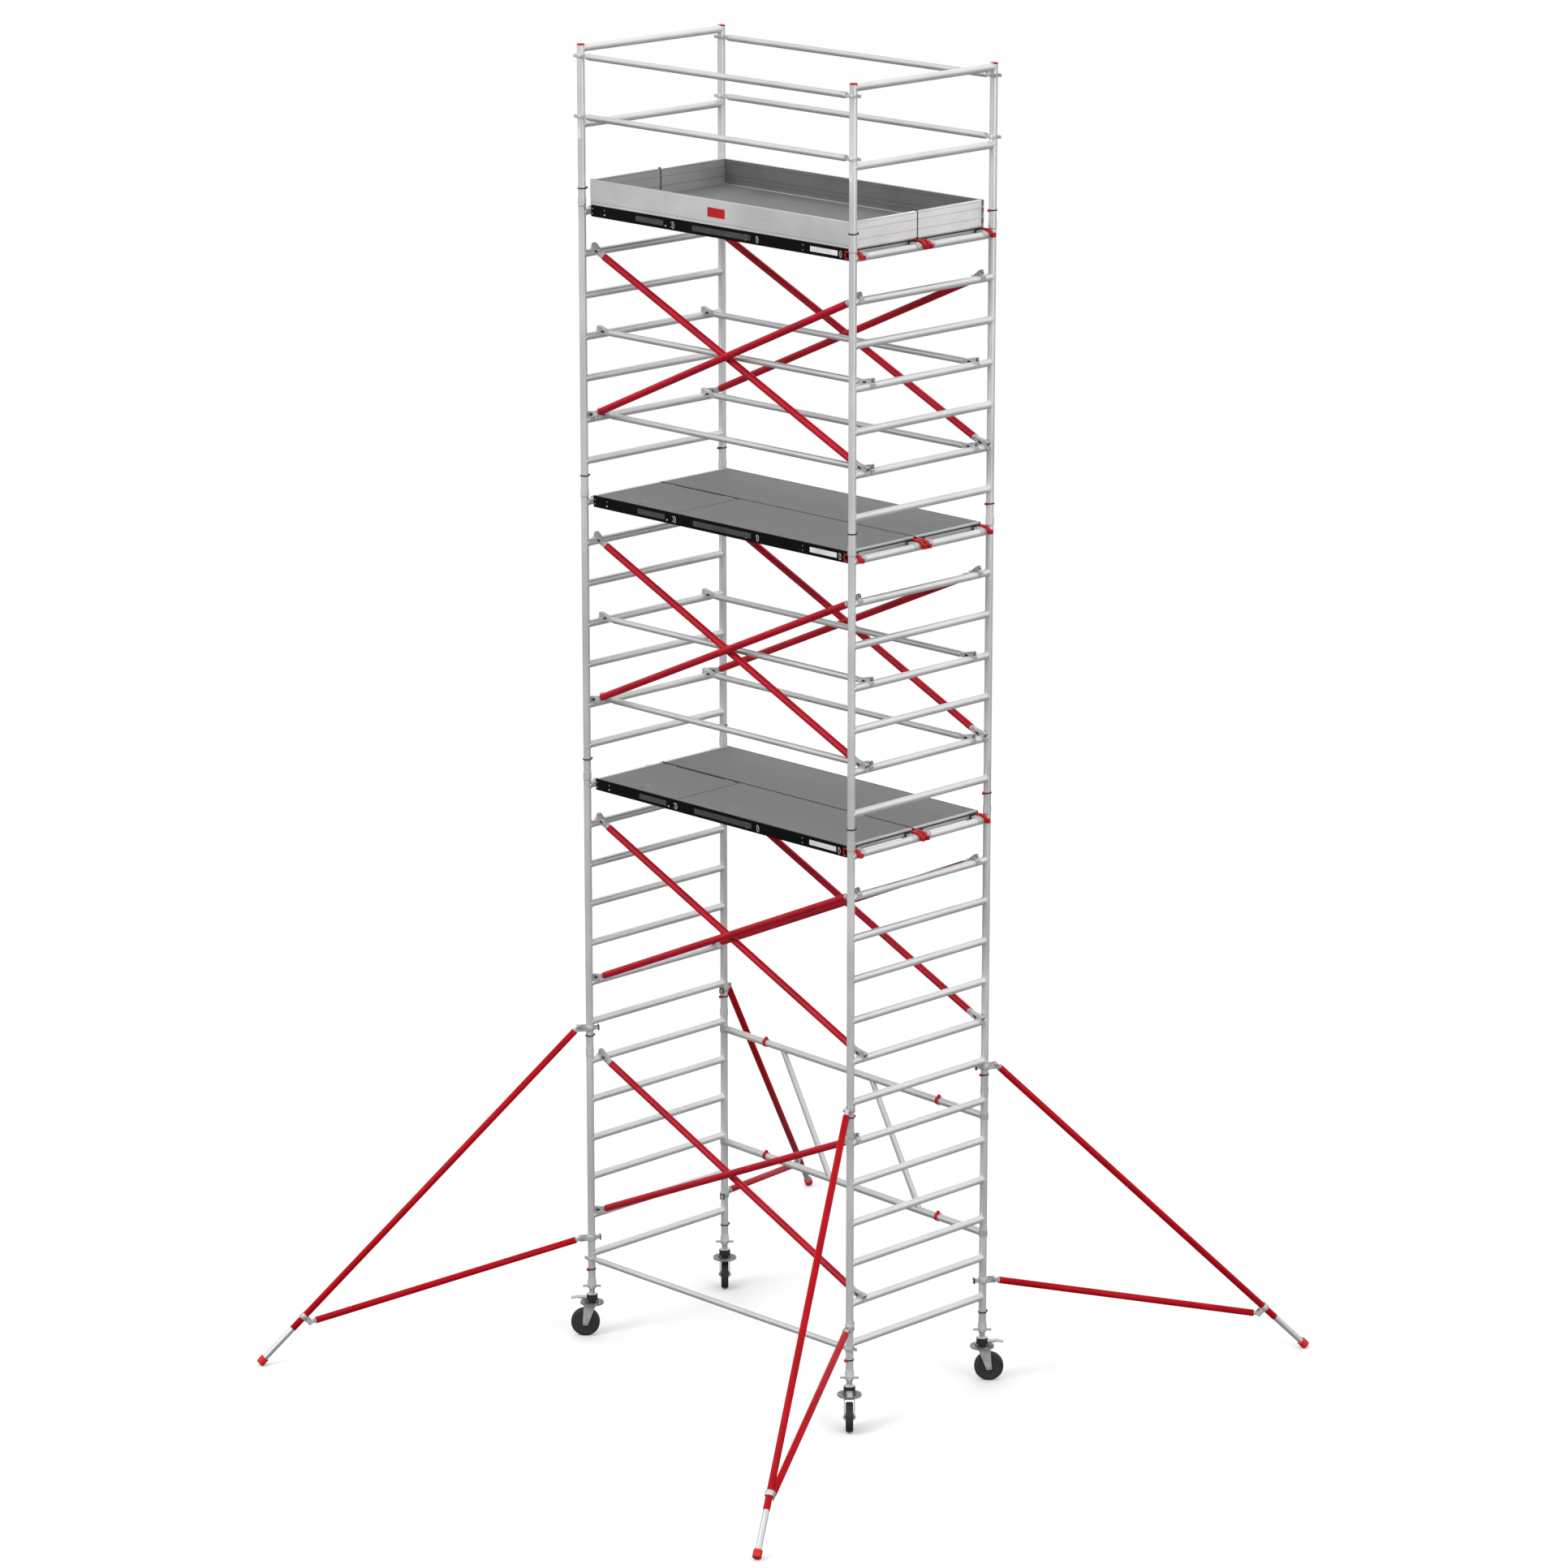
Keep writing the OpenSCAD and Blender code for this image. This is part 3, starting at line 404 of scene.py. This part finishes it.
def islands(mesh):
    """Lists (polygon numbers, lowest corner, highest corner) of each separate solid of a mesh."""
    count = len(mesh.vertices)
    places = np.empty(count * 3)
    mesh.vertices.foreach_get("co", places)
    places = places.reshape(-1, 3)
    _, same = np.unique(np.round(places, 6), axis=0, return_inverse=True)
    same = same.ravel()
    parent = list(range(int(same.max()) + 1))

    def root(a):
        while parent[a] != a:
            parent[a] = parent[parent[a]]
            a = parent[a]
        return a

    for polygon in mesh.polygons:
        first = root(same[polygon.vertices[0]])
        for vertex in polygon.vertices[1:]:
            parent[root(same[vertex])] = first
    groups = {}
    for polygon in mesh.polygons:
        groups.setdefault(root(same[polygon.vertices[0]]), []).append(polygon.index)
    found = []
    for numbers in groups.values():
        corners = places[[v for i in numbers for v in mesh.polygons[i].vertices]]
        found.append((numbers, Vector(corners.min(axis=0)), Vector(corners.max(axis=0))))
    return found


def paint(name, *materials):
    """Gives a CAD node its material slots, all of it on the first one."""
    mesh = nodes[name].data
    mesh.materials.clear()
    for material in materials:
        mesh.materials.append(material)
    for polygon in mesh.polygons:
        polygon.material_index = 0


def paint_where(name, index, test):
    """Puts the polygons of a CAD node that pass a test on one of its slots."""
    for polygon in nodes[name].data.polygons:
        if test(polygon.center):
            polygon.material_index = index


def paint_solids(name, index, test):
    """Puts each whole solid of a CAD node whose box passes a test on one of its slots."""
    mesh = nodes[name].data
    for numbers, low, high in islands(mesh):
        if test(low, high):
            for i in numbers:
                mesh.polygons[i].material_index = index


def outward(corner, angle_degrees):
    """Direction away from the tower at a corner."""
    x, y = CORNERS[corner]
    angle = math.radians(angle_degrees)
    return Vector((x * math.cos(angle), y * math.sin(angle), 0))


def post_centre(corner):
    x, y = CORNERS[corner]
    return Vector((x * HALF_L, y * HALF_W, 0))


def between_posts(center):
    return abs(center.y) < HALF_W - POST_R


def finish_nodes(m):
    ladders = [f"ladder_frames_{i}" for i in (2, 3, 4)]
    for name in ("base_frame_left", "base_frame_right", "guard_frames", *ladders):
        paint(name, m["post"], m["rung"])
        paint_where(name, 1, between_posts)
    for name in ("guardrails", "base_hinge_stubs", "base_fold_panel", "deck_cross_members"):
        paint(name, m["rail"])
    paint("toe_boards_side", m["board"], m["board_painted_shade"])
    # painted shade: faces on the inside of the side toe boards go on the darker board material
    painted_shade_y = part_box("toe_boards_side")[1].y - BOARD_SKIN
    paint_where("toe_boards_side", 1, lambda c: abs(c.y) < painted_shade_y)
    paint("toe_boards_end", m["board_end"], m["plate"], m["board_end_painted_shade"])
    # painted shade: the same for faces on the inside of the end toe boards
    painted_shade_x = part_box("toe_boards_end")[1].x - BOARD_SKIN
    paint_where("toe_boards_end", 2, lambda c: abs(c.x) < painted_shade_x)
    paint_solids("toe_boards_end", 1, lambda low, high: high.y - low.y < 0.02)
    paint("hook_castings", m["cast"])
    paint("deck_fittings", m["cast"], m["black"])
    paint_where("deck_fittings", 1, lambda c: abs(c.x) < HALF_L - 0.046 and abs(c.x) > HALF_L - 0.062)
    paint("diagonal_braces", m["brace"])
    paint("post_caps", m["red"])
    paint("base_fold_clips", m["red"])
    paint("interlock_clips", m["black"], m["red"])
    paint_where("interlock_clips", 1, lambda c: abs(abs(c.y) - HALF_W) > CLIP_RING_R)
    paint("deck_beams", m["beam"])
    for level in LEVELS:
        paint(f"deck_panels_{level}", m["deck"])
        paint(f"hatch_{level}", m["deck"])
        paint(f"windlocks_{level}", m["red"])
    for corner in CORNERS:
        paint_corner(corner, m)


def paint_corner(corner, m):
    middle = post_centre(corner)
    along = outward(corner, STABILISER_ANGLE)
    paint(f"castor_leg_{corner}", m["steel"], m["housing"])
    paint_where(f"castor_leg_{corner}", 1, lambda c: c.z < HOUSING_TOP_Z)
    paint(f"castor_nut_{corner}", m["nut"])
    paint(f"castor_fork_{corner}", m["fork"], m["flange"])
    paint_where(f"castor_fork_{corner}", 1, lambda c: c.z > FLANGE_TOP_Z - 0.012)
    paint(f"castor_brake_{corner}", m["fork"])
    paint(f"castor_wheel_{corner}", m["wheel"])
    paint(f"stabiliser_clamps_{corner}", m["cast"], m["black"])
    paint_where(f"stabiliser_clamps_{corner}", 1, lambda c: (c - middle).dot(along) < -0.058)
    paint(f"stabiliser_struts_{corner}", m["stabiliser"], m["cast"])
    paint_solids(f"stabiliser_struts_{corner}", 1, lambda low, high: (high - low).length < 0.4)
    paint(f"stabiliser_foot_{corner}", m["rail"], m["rubber"])
    paint_solids(f"stabiliser_foot_{corner}", 1, lambda low, high: (high - low).length < 0.2)


def round_edges(*names, width=0.0012):
    """Breaks the sharp edges of CAD nodes, as a casting or moulding has them."""
    for name in names:
        weld = nodes[name].modifiers.new("weld", "WELD")
        weld.merge_threshold = 0.00001
        bevel = nodes[name].modifiers.new("edges", "BEVEL")
        bevel.width = width
        bevel.segments = 2
        bevel.limit_method = "ANGLE"
        bevel.angle_limit = math.radians(38)
        bevel.harden_normals = True


# ---------------------------------------------------------------- mesh building


class Piece:
    """Gathers shapes in place, then makes one object of them."""

    def __init__(self):
        self.points = []
        self.faces = []
        self.indices = []

    def add(self, points, faces, matrix=None, index=0):
        base = len(self.points)
        matrix = matrix or Matrix()
        self.points += [matrix @ Vector(point) for point in points]
        self.faces += [tuple(base + i for i in face) for face in faces]
        self.indices += [index] * len(faces)

    def rings(self, rings, matrix=None, index=0, caps=True):
        """Skins a list of closed rings of equal length."""
        n = len(rings[0])
        points = [point for ring in rings for point in ring]
        faces = []
        for r in range(len(rings) - 1):
            for i in range(n):
                j = (i + 1) % n
                faces.append((r * n + i, r * n + j, (r + 1) * n + j, (r + 1) * n + i))
        if caps:
            faces.append(tuple(reversed(range(n))))
            faces.append(tuple((len(rings) - 1) * n + i for i in range(n)))
        self.add(points, faces, matrix, index)

    def lathe(self, profile, matrix=None, index=0, segments=32, caps=True):
        """Turns a profile of (radius, height) round Z."""
        angles = [2 * math.pi * i / segments for i in range(segments)]
        rings = [[(r * math.cos(a), r * math.sin(a), z) for a in angles] for r, z in profile]
        self.rings(rings, matrix, index, caps)

    def plate(self, width, height, thickness, matrix, corner=0.004, rim=0.0008, index=0):
        """Plate in local XY with rounded corners and a chamfered rim, rising along local Z."""

        def outline(inset, z):
            points = []
            radius = max(corner - inset, 0.0002)
            for sx, sy, start in ((1, 1, 0), (-1, 1, 90), (-1, -1, 180), (1, -1, 270)):
                cx, cy = sx * (width / 2 - inset - radius), sy * (height / 2 - inset - radius)
                for step in range(5):
                    a = math.radians(start + step * 22.5)
                    points.append((cx + radius * math.cos(a), cy + radius * math.sin(a), z))
            return points

        self.rings([outline(0, 0), outline(0, thickness - rim), outline(rim, thickness)], matrix, index)

    def bolt(self, radius, matrix, index=0):
        """Hexagon head with a chamfer, on a washer."""
        washer, head = radius * 0.25, radius * 1.1
        edge = washer * 0.3
        outer = radius * 1.35
        self.lathe([(outer, 0), (outer, washer - edge), (outer - edge, washer)], matrix, index, 20)
        lift = matrix @ Matrix.Translation((0, 0, washer))
        self.lathe([(radius, 0), (radius, head * 0.8), (radius * 0.86, head)], lift, index, 6)

    def screw(self, radius, matrix, index=0):
        """Low dome head with a socket in it."""
        dome = [
            (radius, 0), (radius * 0.96, radius * 0.25), (radius * 0.75, radius * 0.45),
            (radius * 0.42, radius * 0.55)]
        self.lathe(dome + [(radius * 0.42, radius * 0.2)], matrix, index, 16)

    def band(self, path, radius, index=0, sides=8):
        """Bead of round section along a closed path, with a slight ripple."""
        n = len(path)
        rings = []
        for i, point in enumerate(path):
            ahead = (path[(i + 1) % n] - path[i - 1]).normalized()
            side = ahead.orthogonal() if not rings else across - ahead * across.dot(ahead)
            across = side.normalized()
            up = ahead.cross(across)
            r = radius * (1 + 0.12 * math.sin(i * 2.4))
            angles = [2 * math.pi * k / sides for k in range(sides)]
            rings.append([point + r * (math.cos(a) * across + math.sin(a) * up) for a in angles])
        base = len(self.points)
        self.points += [p for ring in rings for p in ring]
        for i in range(n):
            j = (i + 1) % n
            shift = 0
            if j == 0:
                shift = min(range(sides), key=lambda k: (rings[0][k] - rings[-1][0]).length)
            for k in range(sides):
                quad = (i * sides + k, i * sides + (k + 1) % sides,
                        j * sides + (k + 1 + shift) % sides, j * sides + (k + shift) % sides)
                self.faces.append(tuple(base + q for q in quad))
                self.indices.append(index)

    def make(self, name, body, materials, smooth_angle=35):
        mesh = bpy.data.meshes.new(name)
        mesh.from_pydata([tuple(p) for p in self.points], [], self.faces)
        for material in materials:
            mesh.materials.append(material)
        mesh.polygons.foreach_set("material_index", self.indices)
        mesh.validate()
        work = bmesh.new()
        work.from_mesh(mesh)
        bmesh.ops.recalc_face_normals(work, faces=work.faces)
        work.to_mesh(mesh)
        work.free()
        mesh.shade_smooth()
        mesh.set_sharp_from_angle(angle=math.radians(smooth_angle))
        piece = bpy.data.objects.new(name, mesh)
        bpy.context.scene.collection.objects.link(piece)
        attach(piece, body)
        return piece


def frame_at(origin, forward, up):
    """Matrix whose local Z is forward and whose local Y is nearest to up."""
    z = Vector(forward).normalized()
    x = Vector(up).cross(z).normalized()
    y = z.cross(x)
    return Matrix((
        (x.x, y.x, z.x, origin[0]), (x.y, y.y, z.y, origin[1]), (x.z, y.z, z.z, origin[2]), (0, 0, 0, 1)
    ))


# ---------------------------------------------------------------- details of the frames


def rung_heights(n_top=TOP_RUNG):
    guard = [s for s in islands(nodes["guard_frames"].data) if s[2].y - s[1].y > HALF_W]
    return [rung_z(n) for n in range(1, n_top + 1)] + sorted({round((s[1].z + s[2].z) / 2, 4) for s in guard})


def rung_welds(m):
    """Fillet bead where each rung meets its two posts."""
    piece = Piece()
    steps, bead = 36, 0.0032
    for z in rung_heights():
        for sx in (-1, 1):
            for sy in (-1, 1):
                path = []
                for i in range(steps):
                    a = 2 * math.pi * i / steps
                    x, up = RUNG_R * math.cos(a), RUNG_R * math.sin(a)
                    reach = math.sqrt(max(POST_R * POST_R - x * x, 0)) + 0.0008
                    path.append(Vector((sx * HALF_L + x, sy * (HALF_W - reach), z + up)))
                piece.band(path, bead)
    piece.make("rung_welds", "tower", [m["weld"]])


def post_labels(m):
    """Blank white plates wrapped round two posts of the guard frame."""
    piece = Piece()
    height, top, wrap = LABEL_H, LABEL_TOP_Z, math.radians(90)
    for corner, facing in (("front_left", -100), ("front_right", -100)):
        middle = post_centre(corner)
        rings = []
        for radius in (POST_R + 0.0001, POST_R + 0.0008):
            for z in (top - height, top):
                row = []
                for i in range(9):
                    a = math.radians(facing) + wrap * (i / 8 - 0.5)
                    row.append((middle.x + radius * math.cos(a), middle.y + radius * math.sin(a), z))
                rings.append(row)
        inner_low, inner_high, outer_low, outer_high = rings
        points = outer_low + outer_high + inner_low + inner_high
        faces = [(i, i + 1, i + 10, i + 9) for i in range(8)]
        faces += [(i + 18, i + 27, i + 28, i + 19) for i in range(8)]
        faces += [(i, i + 18, i + 19, i + 1) for i in range(8)]
        faces += [(i + 9, i + 10, i + 28, i + 27) for i in range(8)]
        faces += [(0, 9, 27, 18), (8, 26, 35, 17)]
        piece.add(points, faces)
    piece.make("post_labels", "tower", [m["label"]])


def tube_crimps(m):
    """Pressed rings that hold the castings in the ends of the rails."""
    piece = Piece()
    foot, crest = RAIL_R - 0.001, RAIL_R + 0.0007
    crimp = [(foot, -0.003), (crest, -0.0015), (crest, 0.0015), (foot, 0.003)]
    for numbers, low, high in islands(nodes["guardrails"].data):
        y, z = (low.y + high.y) / 2, (low.z + high.z) / 2
        for end in (low.x, high.x):
            inward = 1 if end < 0 else -1
            for step in (0.016, 0.03):
                place = frame_at((end + inward * step, y, z), (1, 0, 0), (0, 0, 1))
                piece.lathe(crimp, place, 0, 24, caps=False)
    piece.make("rail_crimps", "tower", [m["cast"]])


def claw_triggers(m):
    """Sprung trigger with its frame on the nose of each hook, and the pin through its neck."""
    piece = Piece()
    for numbers, low, high in islands(nodes["hook_castings"].data):
        side = 1 if low.x > 0 else -1
        y = (low.y + high.y) / 2
        if high.y - low.y > 0.045:
            post_claw_details(piece, side, low, high)
            continue
        n = round(((low.z + high.z) / 2 - FIRST_RUNG) / RUNG_PITCH)
        z = FIRST_RUNG + n * RUNG_PITCH
        lean = 0
        if high.z - low.z > 0.07:
            lean = BRACE_ANGLE if low.z < z - 0.02 else -BRACE_ANGLE
        hook_housing(piece, side, y, z, lean)
        for sy in (-1, 1):
            pin = frame_at((side * (HALF_L - 0.062), y + sy * 0.015, z + 0.018), (0, sy, 0), (0, 0, 1))
            piece.screw(0.0052, pin, 2)
            guard = frame_at((side * HALF_L, y + sy * 0.015, z + 0.029), (0, sy, 0), (0, 0, 1))
            piece.screw(0.0036, guard, 2)
    piece.make("hook_triggers", "tower", [m["cast"], m["black"], m["bolt"]])


def hook_housing(piece, side, y, z, lean):
    """Wedge-shaped housing over the hook, in line with its tube, with the trigger's slot in its end."""
    half_w, rim = 0.0165, 0.0015
    outline = [
        (-0.066, -0.016), (-0.02, -0.018), (-0.012, 0.008), (0.026, 0.01), (0.026, 0.034),
        (0.02, 0.039), (-0.066, 0.017)]
    place = Matrix.Translation((side * HALF_L, y, z + HOOK_RISE)) @ Matrix.Diagonal((side, 1, 1, 1))
    place = place @ Matrix.Rotation(-lean, 4, "Y")
    middle = Vector((sum(u for u, w in outline) / len(outline), sum(w for u, w in outline) / len(outline)))

    def ring(across, inset):
        points = []
        for corner in outline:
            toward = (middle - Vector(corner)).normalized() * inset
            points.append((corner[0] + toward.x, across, corner[1] + toward.y))
        return points

    rings = [ring(-half_w, rim), ring(-half_w + rim, 0), ring(half_w - rim, 0), ring(half_w, rim)]
    piece.rings(rings, place, 0)
    slot = place @ frame_at((0.0255, 0, 0.0235), (1, 0, 0), (0, 0, 1))
    piece.plate(0.027, 0.021, 0.003, slot, 0.003, 0.0008, 1)
    piece.plate(0.013, 0.011, 0.0045, slot, 0.002, 0.0008, 0)
    for across in (-half_w, half_w):
        cheek = place @ frame_at((-0.034, across, 0.004), (0, across, 0), (0, 0, 1))
        piece.plate(0.03, 0.014, 0.0012, cheek, 0.004, 0.0005, 1)


def post_claw_details(piece, side, low, high):
    """Two screws on the prongs of a jaw round a post, and a bolt through the jaw."""
    y, z = (low.y + high.y) / 2, (low.z + high.z) / 2
    tip = side * max(abs(low.x), abs(high.x))
    for sy in (-1, 1):
        piece.screw(0.0045, frame_at((tip - side * 0.012, y + sy * 0.019, z + 0.01), (0, 0, 1), (0, 1, 0)), 2)
    piece.bolt(0.005, frame_at((side * (HALF_L - 0.058), y, z + 0.01), (0, 0, 1), (0, 1, 0)), 2)


# ---------------------------------------------------------------- details of the platforms


def deck_top(level):
    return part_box(f"deck_panels_{level}")[1].z


def front_beam_y():
    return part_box("deck_beams")[0].y


def beam_marks(m):
    """Blank plates, rivets, lashing eyes and the red end clip on the beams."""
    piece = Piece()
    for level in LEVELS:
        top = deck_top(level)
        for sign in (-1, 1):
            face_y = sign * abs(front_beam_y())

            def on_beam(x, drop):
                return frame_at((x, face_y, top - drop), (0, sign, 0), (0, 0, 1))

            for x in BEAM_RIVETS:
                for drop in (0.026, 0.058):
                    piece.screw(0.004, on_beam(-sign * x, drop), 0)
            piece.plate(0.262, 0.036, 0.0008, on_beam(sign * 0.634, 0.04), 0.004, 0.0003, 1)
            piece.plate(0.54, 0.036, 0.0008, on_beam(-sign * 0.035, 0.04), 0.004, 0.0003, 1)
            piece.plate(0.245, 0.034, 0.0008, on_beam(-sign * 0.968, 0.04), 0.002, 0.0003, 2)
            for x in (0.481, 1.06):
                piece.screw(0.0055, on_beam(sign * x, 0.056), 2)
            for x in (0.411, -0.366, -1.118):
                lashing_eye(piece, on_beam(sign * x, 0.043))
            for drop in (0.02, 0.066):
                piece.plate(0.03, 0.01, 0.006, on_beam(-sign * 1.172, drop), 0.002, 0.001, 3)
            piece.plate(0.01, 0.05, 0.006, on_beam(-sign * 1.162, 0.043), 0.002, 0.001, 3)
    piece.make("beam_marks", "tower", [m["bolt"], m["plate"], m["label"], m["red"]])


def lashing_eye(piece, place):
    """Small D-shaped loop, flat on the beam."""
    path = []
    for i in range(20):
        a = 2 * math.pi * i / 20
        x, y = 0.011 * math.cos(a), 0.021 * math.sin(a)
        path.append(place @ Vector((max(x, -0.006) - 0.12 * y, y, 0.0012)))
    piece.band(path, 0.0016, 2, 6)


def deck_edges(m):
    """Screws of the trapdoor hinges, its finger ring, and the screws along the deck edges."""
    for level in LEVELS:
        top = deck_top(level)
        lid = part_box(f"hatch_{level}")
        lid_piece = Piece()
        for x in (lid[0].x + 0.095, lid[1].x - 0.092):
            for step in (-0.03, 0.03):
                lid_piece.screw(0.005, Matrix.Translation((x + step, lid[1].y - 0.024, top)), 0)
        ring = Matrix.Translation(((lid[0].x + lid[1].x) / 2 - 0.03, lid[0].y + 0.11, top - 0.0039))
        rim = [(0.0126, 0), (0.0126, 0.0042), (0.0108, 0.0048), (0.0095, 0.0042), (0.0095, 0)]
        lid_piece.lathe(rim, ring, 1, 32, False)
        lid_piece.lathe([(0.0095, 0.0008), (0.0078, 0.0014), (0.002, 0.0014)], ring, 1, 32)
        lid_piece.make(f"hatch_{level}_trim", f"hatch_{level}", [m["bolt"], m["cast"]])
        edge_piece = Piece()
        low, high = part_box(f"deck_panels_{level}")
        for x in (-1.07, -0.8, -0.53, -0.26, 0.01, 0.28, 0.55, 0.82, 1.09):
            edge_piece.screw(0.004, Matrix.Translation((x, high.y - 0.016, top - 0.0008)), 0)
            edge_piece.screw(0.004, Matrix.Translation((x, 0.026, top - 0.0008)), 0)
            if x > lid[1].x:
                edge_piece.screw(0.004, Matrix.Translation((x, low.y + 0.016, top - 0.0008)), 0)
                edge_piece.screw(0.004, Matrix.Translation((x, -0.026, top - 0.0008)), 0)
        seam = Matrix.Translation((lid[1].x + 0.0052, (lid[0].y + lid[1].y) / 2, top))
        edge_piece.plate(0.005, lid[1].y - lid[0].y, 0.0006, seam, 0.001, 0.0002, 1)
        edge_piece.make(f"deck_screws_{level}", "tower", [m["plate"], m["black"]])


def toe_board_trim(m):
    """Hinge knuckles, corner screws, inner foot flange and a blank plate on the toe boards."""
    piece = Piece()
    low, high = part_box("toe_boards_side")
    end_x = high.x - 0.0125
    for sx in (-1, 1):
        for share in (0.08, 0.5, 0.88):
            place = Matrix.Translation((sx * end_x, 0, low.z + share * (high.z - low.z)))
            piece.lathe([(0.0075, -0.014), (0.0083, -0.013), (0.0083, 0.013), (0.0075, 0.014)], place, 1, 24)
        knob = Matrix.Translation((sx * end_x, 0, high.z + 0.002))
        piece.lathe([(0.006, 0), (0.009, 0.001), (0.009, 0.006), (0.006, 0.008)], knob, 1, 24)
        for sy in (-1, 1):
            for share in (0.16, 0.84):
                spot = (sx * high.x, sy * (high.y - 0.013), low.z + share * (high.z - low.z))
                piece.screw(0.005, frame_at(spot, (sx, 0, 0), (0, 0, 1)), 1)
    inner = high.y - 0.0252
    for sy in (-1, 1):
        foot = frame_at((0, sy * (inner - 0.006), low.z + 0.0002), (0, 0, 1), (0, 1, 0))
        piece.plate(2 * (end_x - 0.016), 0.012, 0.004, foot, 0.0015, 0.001, 0)
    sign_place = frame_at((-0.01, low.y, (low.z + high.z) / 2), (0, -1, 0), (0, 0, 1))
    piece.plate(0.16, 0.062, 0.001, sign_place, 0.004, 0.0004, 2)
    piece.make("toe_board_trim", "tower", [m["rail"], m["plate"], m["red"]])


# ---------------------------------------------------------------- castors


def wheel_frame(corner):
    """Local Z is the axle and the origin is the wheel's middle."""
    low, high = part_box(f"castor_wheel_{corner}")
    along = outward(corner, 45)
    return frame_at((low + high) / 2, (-along.y, along.x, 0), (0, 0, 1))


def castor_wheel(corner, m):
    """Wheel with a grooved tyre, a stepped rim and a ribbed disc."""
    piece = Piece()
    place = wheel_frame(corner)
    wheel_r, half_w = 0.1, 0.025
    outer = [
        (0.071, half_w - 0.002), (0.073, half_w), (0.091, half_w), (0.096, half_w - 0.0022),
        (0.0993, half_w - 0.0075), (wheel_r, 0.009), (wheel_r, 0.0032), (0.0988, 0.0024)]
    tyre = [(r, -w) for r, w in outer] + outer[::-1]
    piece.lathe(tyre, place, 0, 72)
    for side in (-1, 1):
        face = place @ Matrix.Diagonal((1, 1, side, 1))
        rim = [(0.0712, 0.012), (0.0705, 0.0215), (0.0685, 0.0225), (0.0662, 0.0215), (0.0645, 0.0165)]
        piece.lathe(rim, face, 1, 64, False)
        disc = [
            (0.0645, 0.0165), (0.034, 0.0155), (0.0245, 0.0185), (0.0222, 0.026), (0.02, 0.0288),
            (0.0075, 0.0288)]
        piece.lathe(disc, face, 1, 64, False)
        for i in range(8):
            turn = face @ Matrix.Rotation(math.radians(45 * i), 4, "Z")
            spoke = turn @ Matrix.Translation((0.0455, 0, 0.0148))
            piece.plate(0.036, 0.0052, 0.0042, spoke, 0.002, 0.0012, 1)
    wheel = piece.make(f"wheel_{corner}", f"castor_wheel_{corner}", [m["wheel"], m["hub"]])
    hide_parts(f"castor_wheel_{corner}")


def castor_trim(corner, m):
    """Bolts of the swivel flange and its holes, whose black insides are painted shade, axle washers, and the
    cap over the bearing.
    """
    piece = Piece()
    low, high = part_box(f"castor_fork_{corner}")
    middle = post_centre(corner)
    flange_top = FLANGE_TOP_Z
    for i in range(8):
        turn = Matrix.Rotation(math.radians(45 * i + 22.5), 4, "Z")
        spot = Matrix.Translation((middle.x, middle.y, flange_top)) @ turn @ Matrix.Translation((0.067, 0, 0))
        if i % 2:
            piece.bolt(0.0058, spot, 0)
        else:
            # painted shade: each hole is a black lip and disc, for the dark inside of the hole
            piece.lathe([(0.0072, 0.0006), (0.0066, 0.0009), (0.0058, 0.0006), (0.0054, -0.002)], spot, 1, 24)
    ring = Matrix.Translation((middle.x, middle.y, flange_top))
    piece.lathe([(0.0475, -0.001), (0.0475, 0.0025), (0.046, 0.0035), (0.0415, 0.0035)], ring, 1, 48, False)
    axle = wheel_frame(corner)
    for side in (-1, 1):
        spot = axle @ Matrix.Diagonal((1, 1, side, 1)) @ Matrix.Translation((0, 0, 0.0362))
        piece.lathe([(0.0135, 0), (0.0135, 0.0014), (0.0128, 0.002), (0.0107, 0.002)], spot, 0, 28)
    piece.make(f"castor_trim_{corner}", f"castor_fork_{corner}", [m["bolt"], m["black"]])


# ---------------------------------------------------------------- stabilisers


def clamp_trim(corner, m):
    """Pivot bolts of the clamps and the over-centre levers on their tower side."""
    piece = Piece()
    along = outward(corner, STABILISER_ANGLE)
    across = Vector((-along.y, along.x, 0))
    middle = post_centre(corner)
    for z in (CLAMP_TOP_Z, CLAMP_LOW_Z):
        for side in (-1, 1):
            spot = middle + along * CLAMP_PIVOT_U + across * (side * 0.0226) + Vector((0, 0, z))
            piece.bolt(0.0085, frame_at(spot, across * side, (0, 0, 1)), 0)
            ear = middle + along * 0.046 + across * (side * 0.019) + Vector((0, 0, z - 0.008))
            piece.screw(0.0042, frame_at(ear, across * side, (0, 0, 1)), 0)
        back = middle - along * 0.0655 + Vector((0, 0, z - (0.014 if z > 1 else 0)))
        handle = frame_at(back, -along, (0, 0, 1))
        piece.plate(0.018, 0.026, 0.0025, handle, 0.003, 0.001, 1)
    piece.make(f"clamp_trim_{corner}", f"stabiliser_{corner}", [m["bolt"], m["cast"]])


make_camera()
make_floor()
make_light()
materials = make_materials()
finish_nodes(materials)
round_edges("hook_castings", "deck_fittings", *(f"windlocks_{level}" for level in LEVELS))
round_edges("toe_boards_side", "toe_boards_end", width=0.0008)
for corner_name in CORNERS:
    round_edges(f"castor_nut_{corner_name}", f"castor_fork_{corner_name}", f"castor_brake_{corner_name}")
    round_edges(f"stabiliser_clamps_{corner_name}", f"stabiliser_struts_{corner_name}")
    castor_wheel(corner_name, materials)
    castor_trim(corner_name, materials)
    clamp_trim(corner_name, materials)
rung_welds(materials)
post_labels(materials)
tube_crimps(materials)
claw_triggers(materials)
beam_marks(materials)
deck_edges(materials)
toe_board_trim(materials)
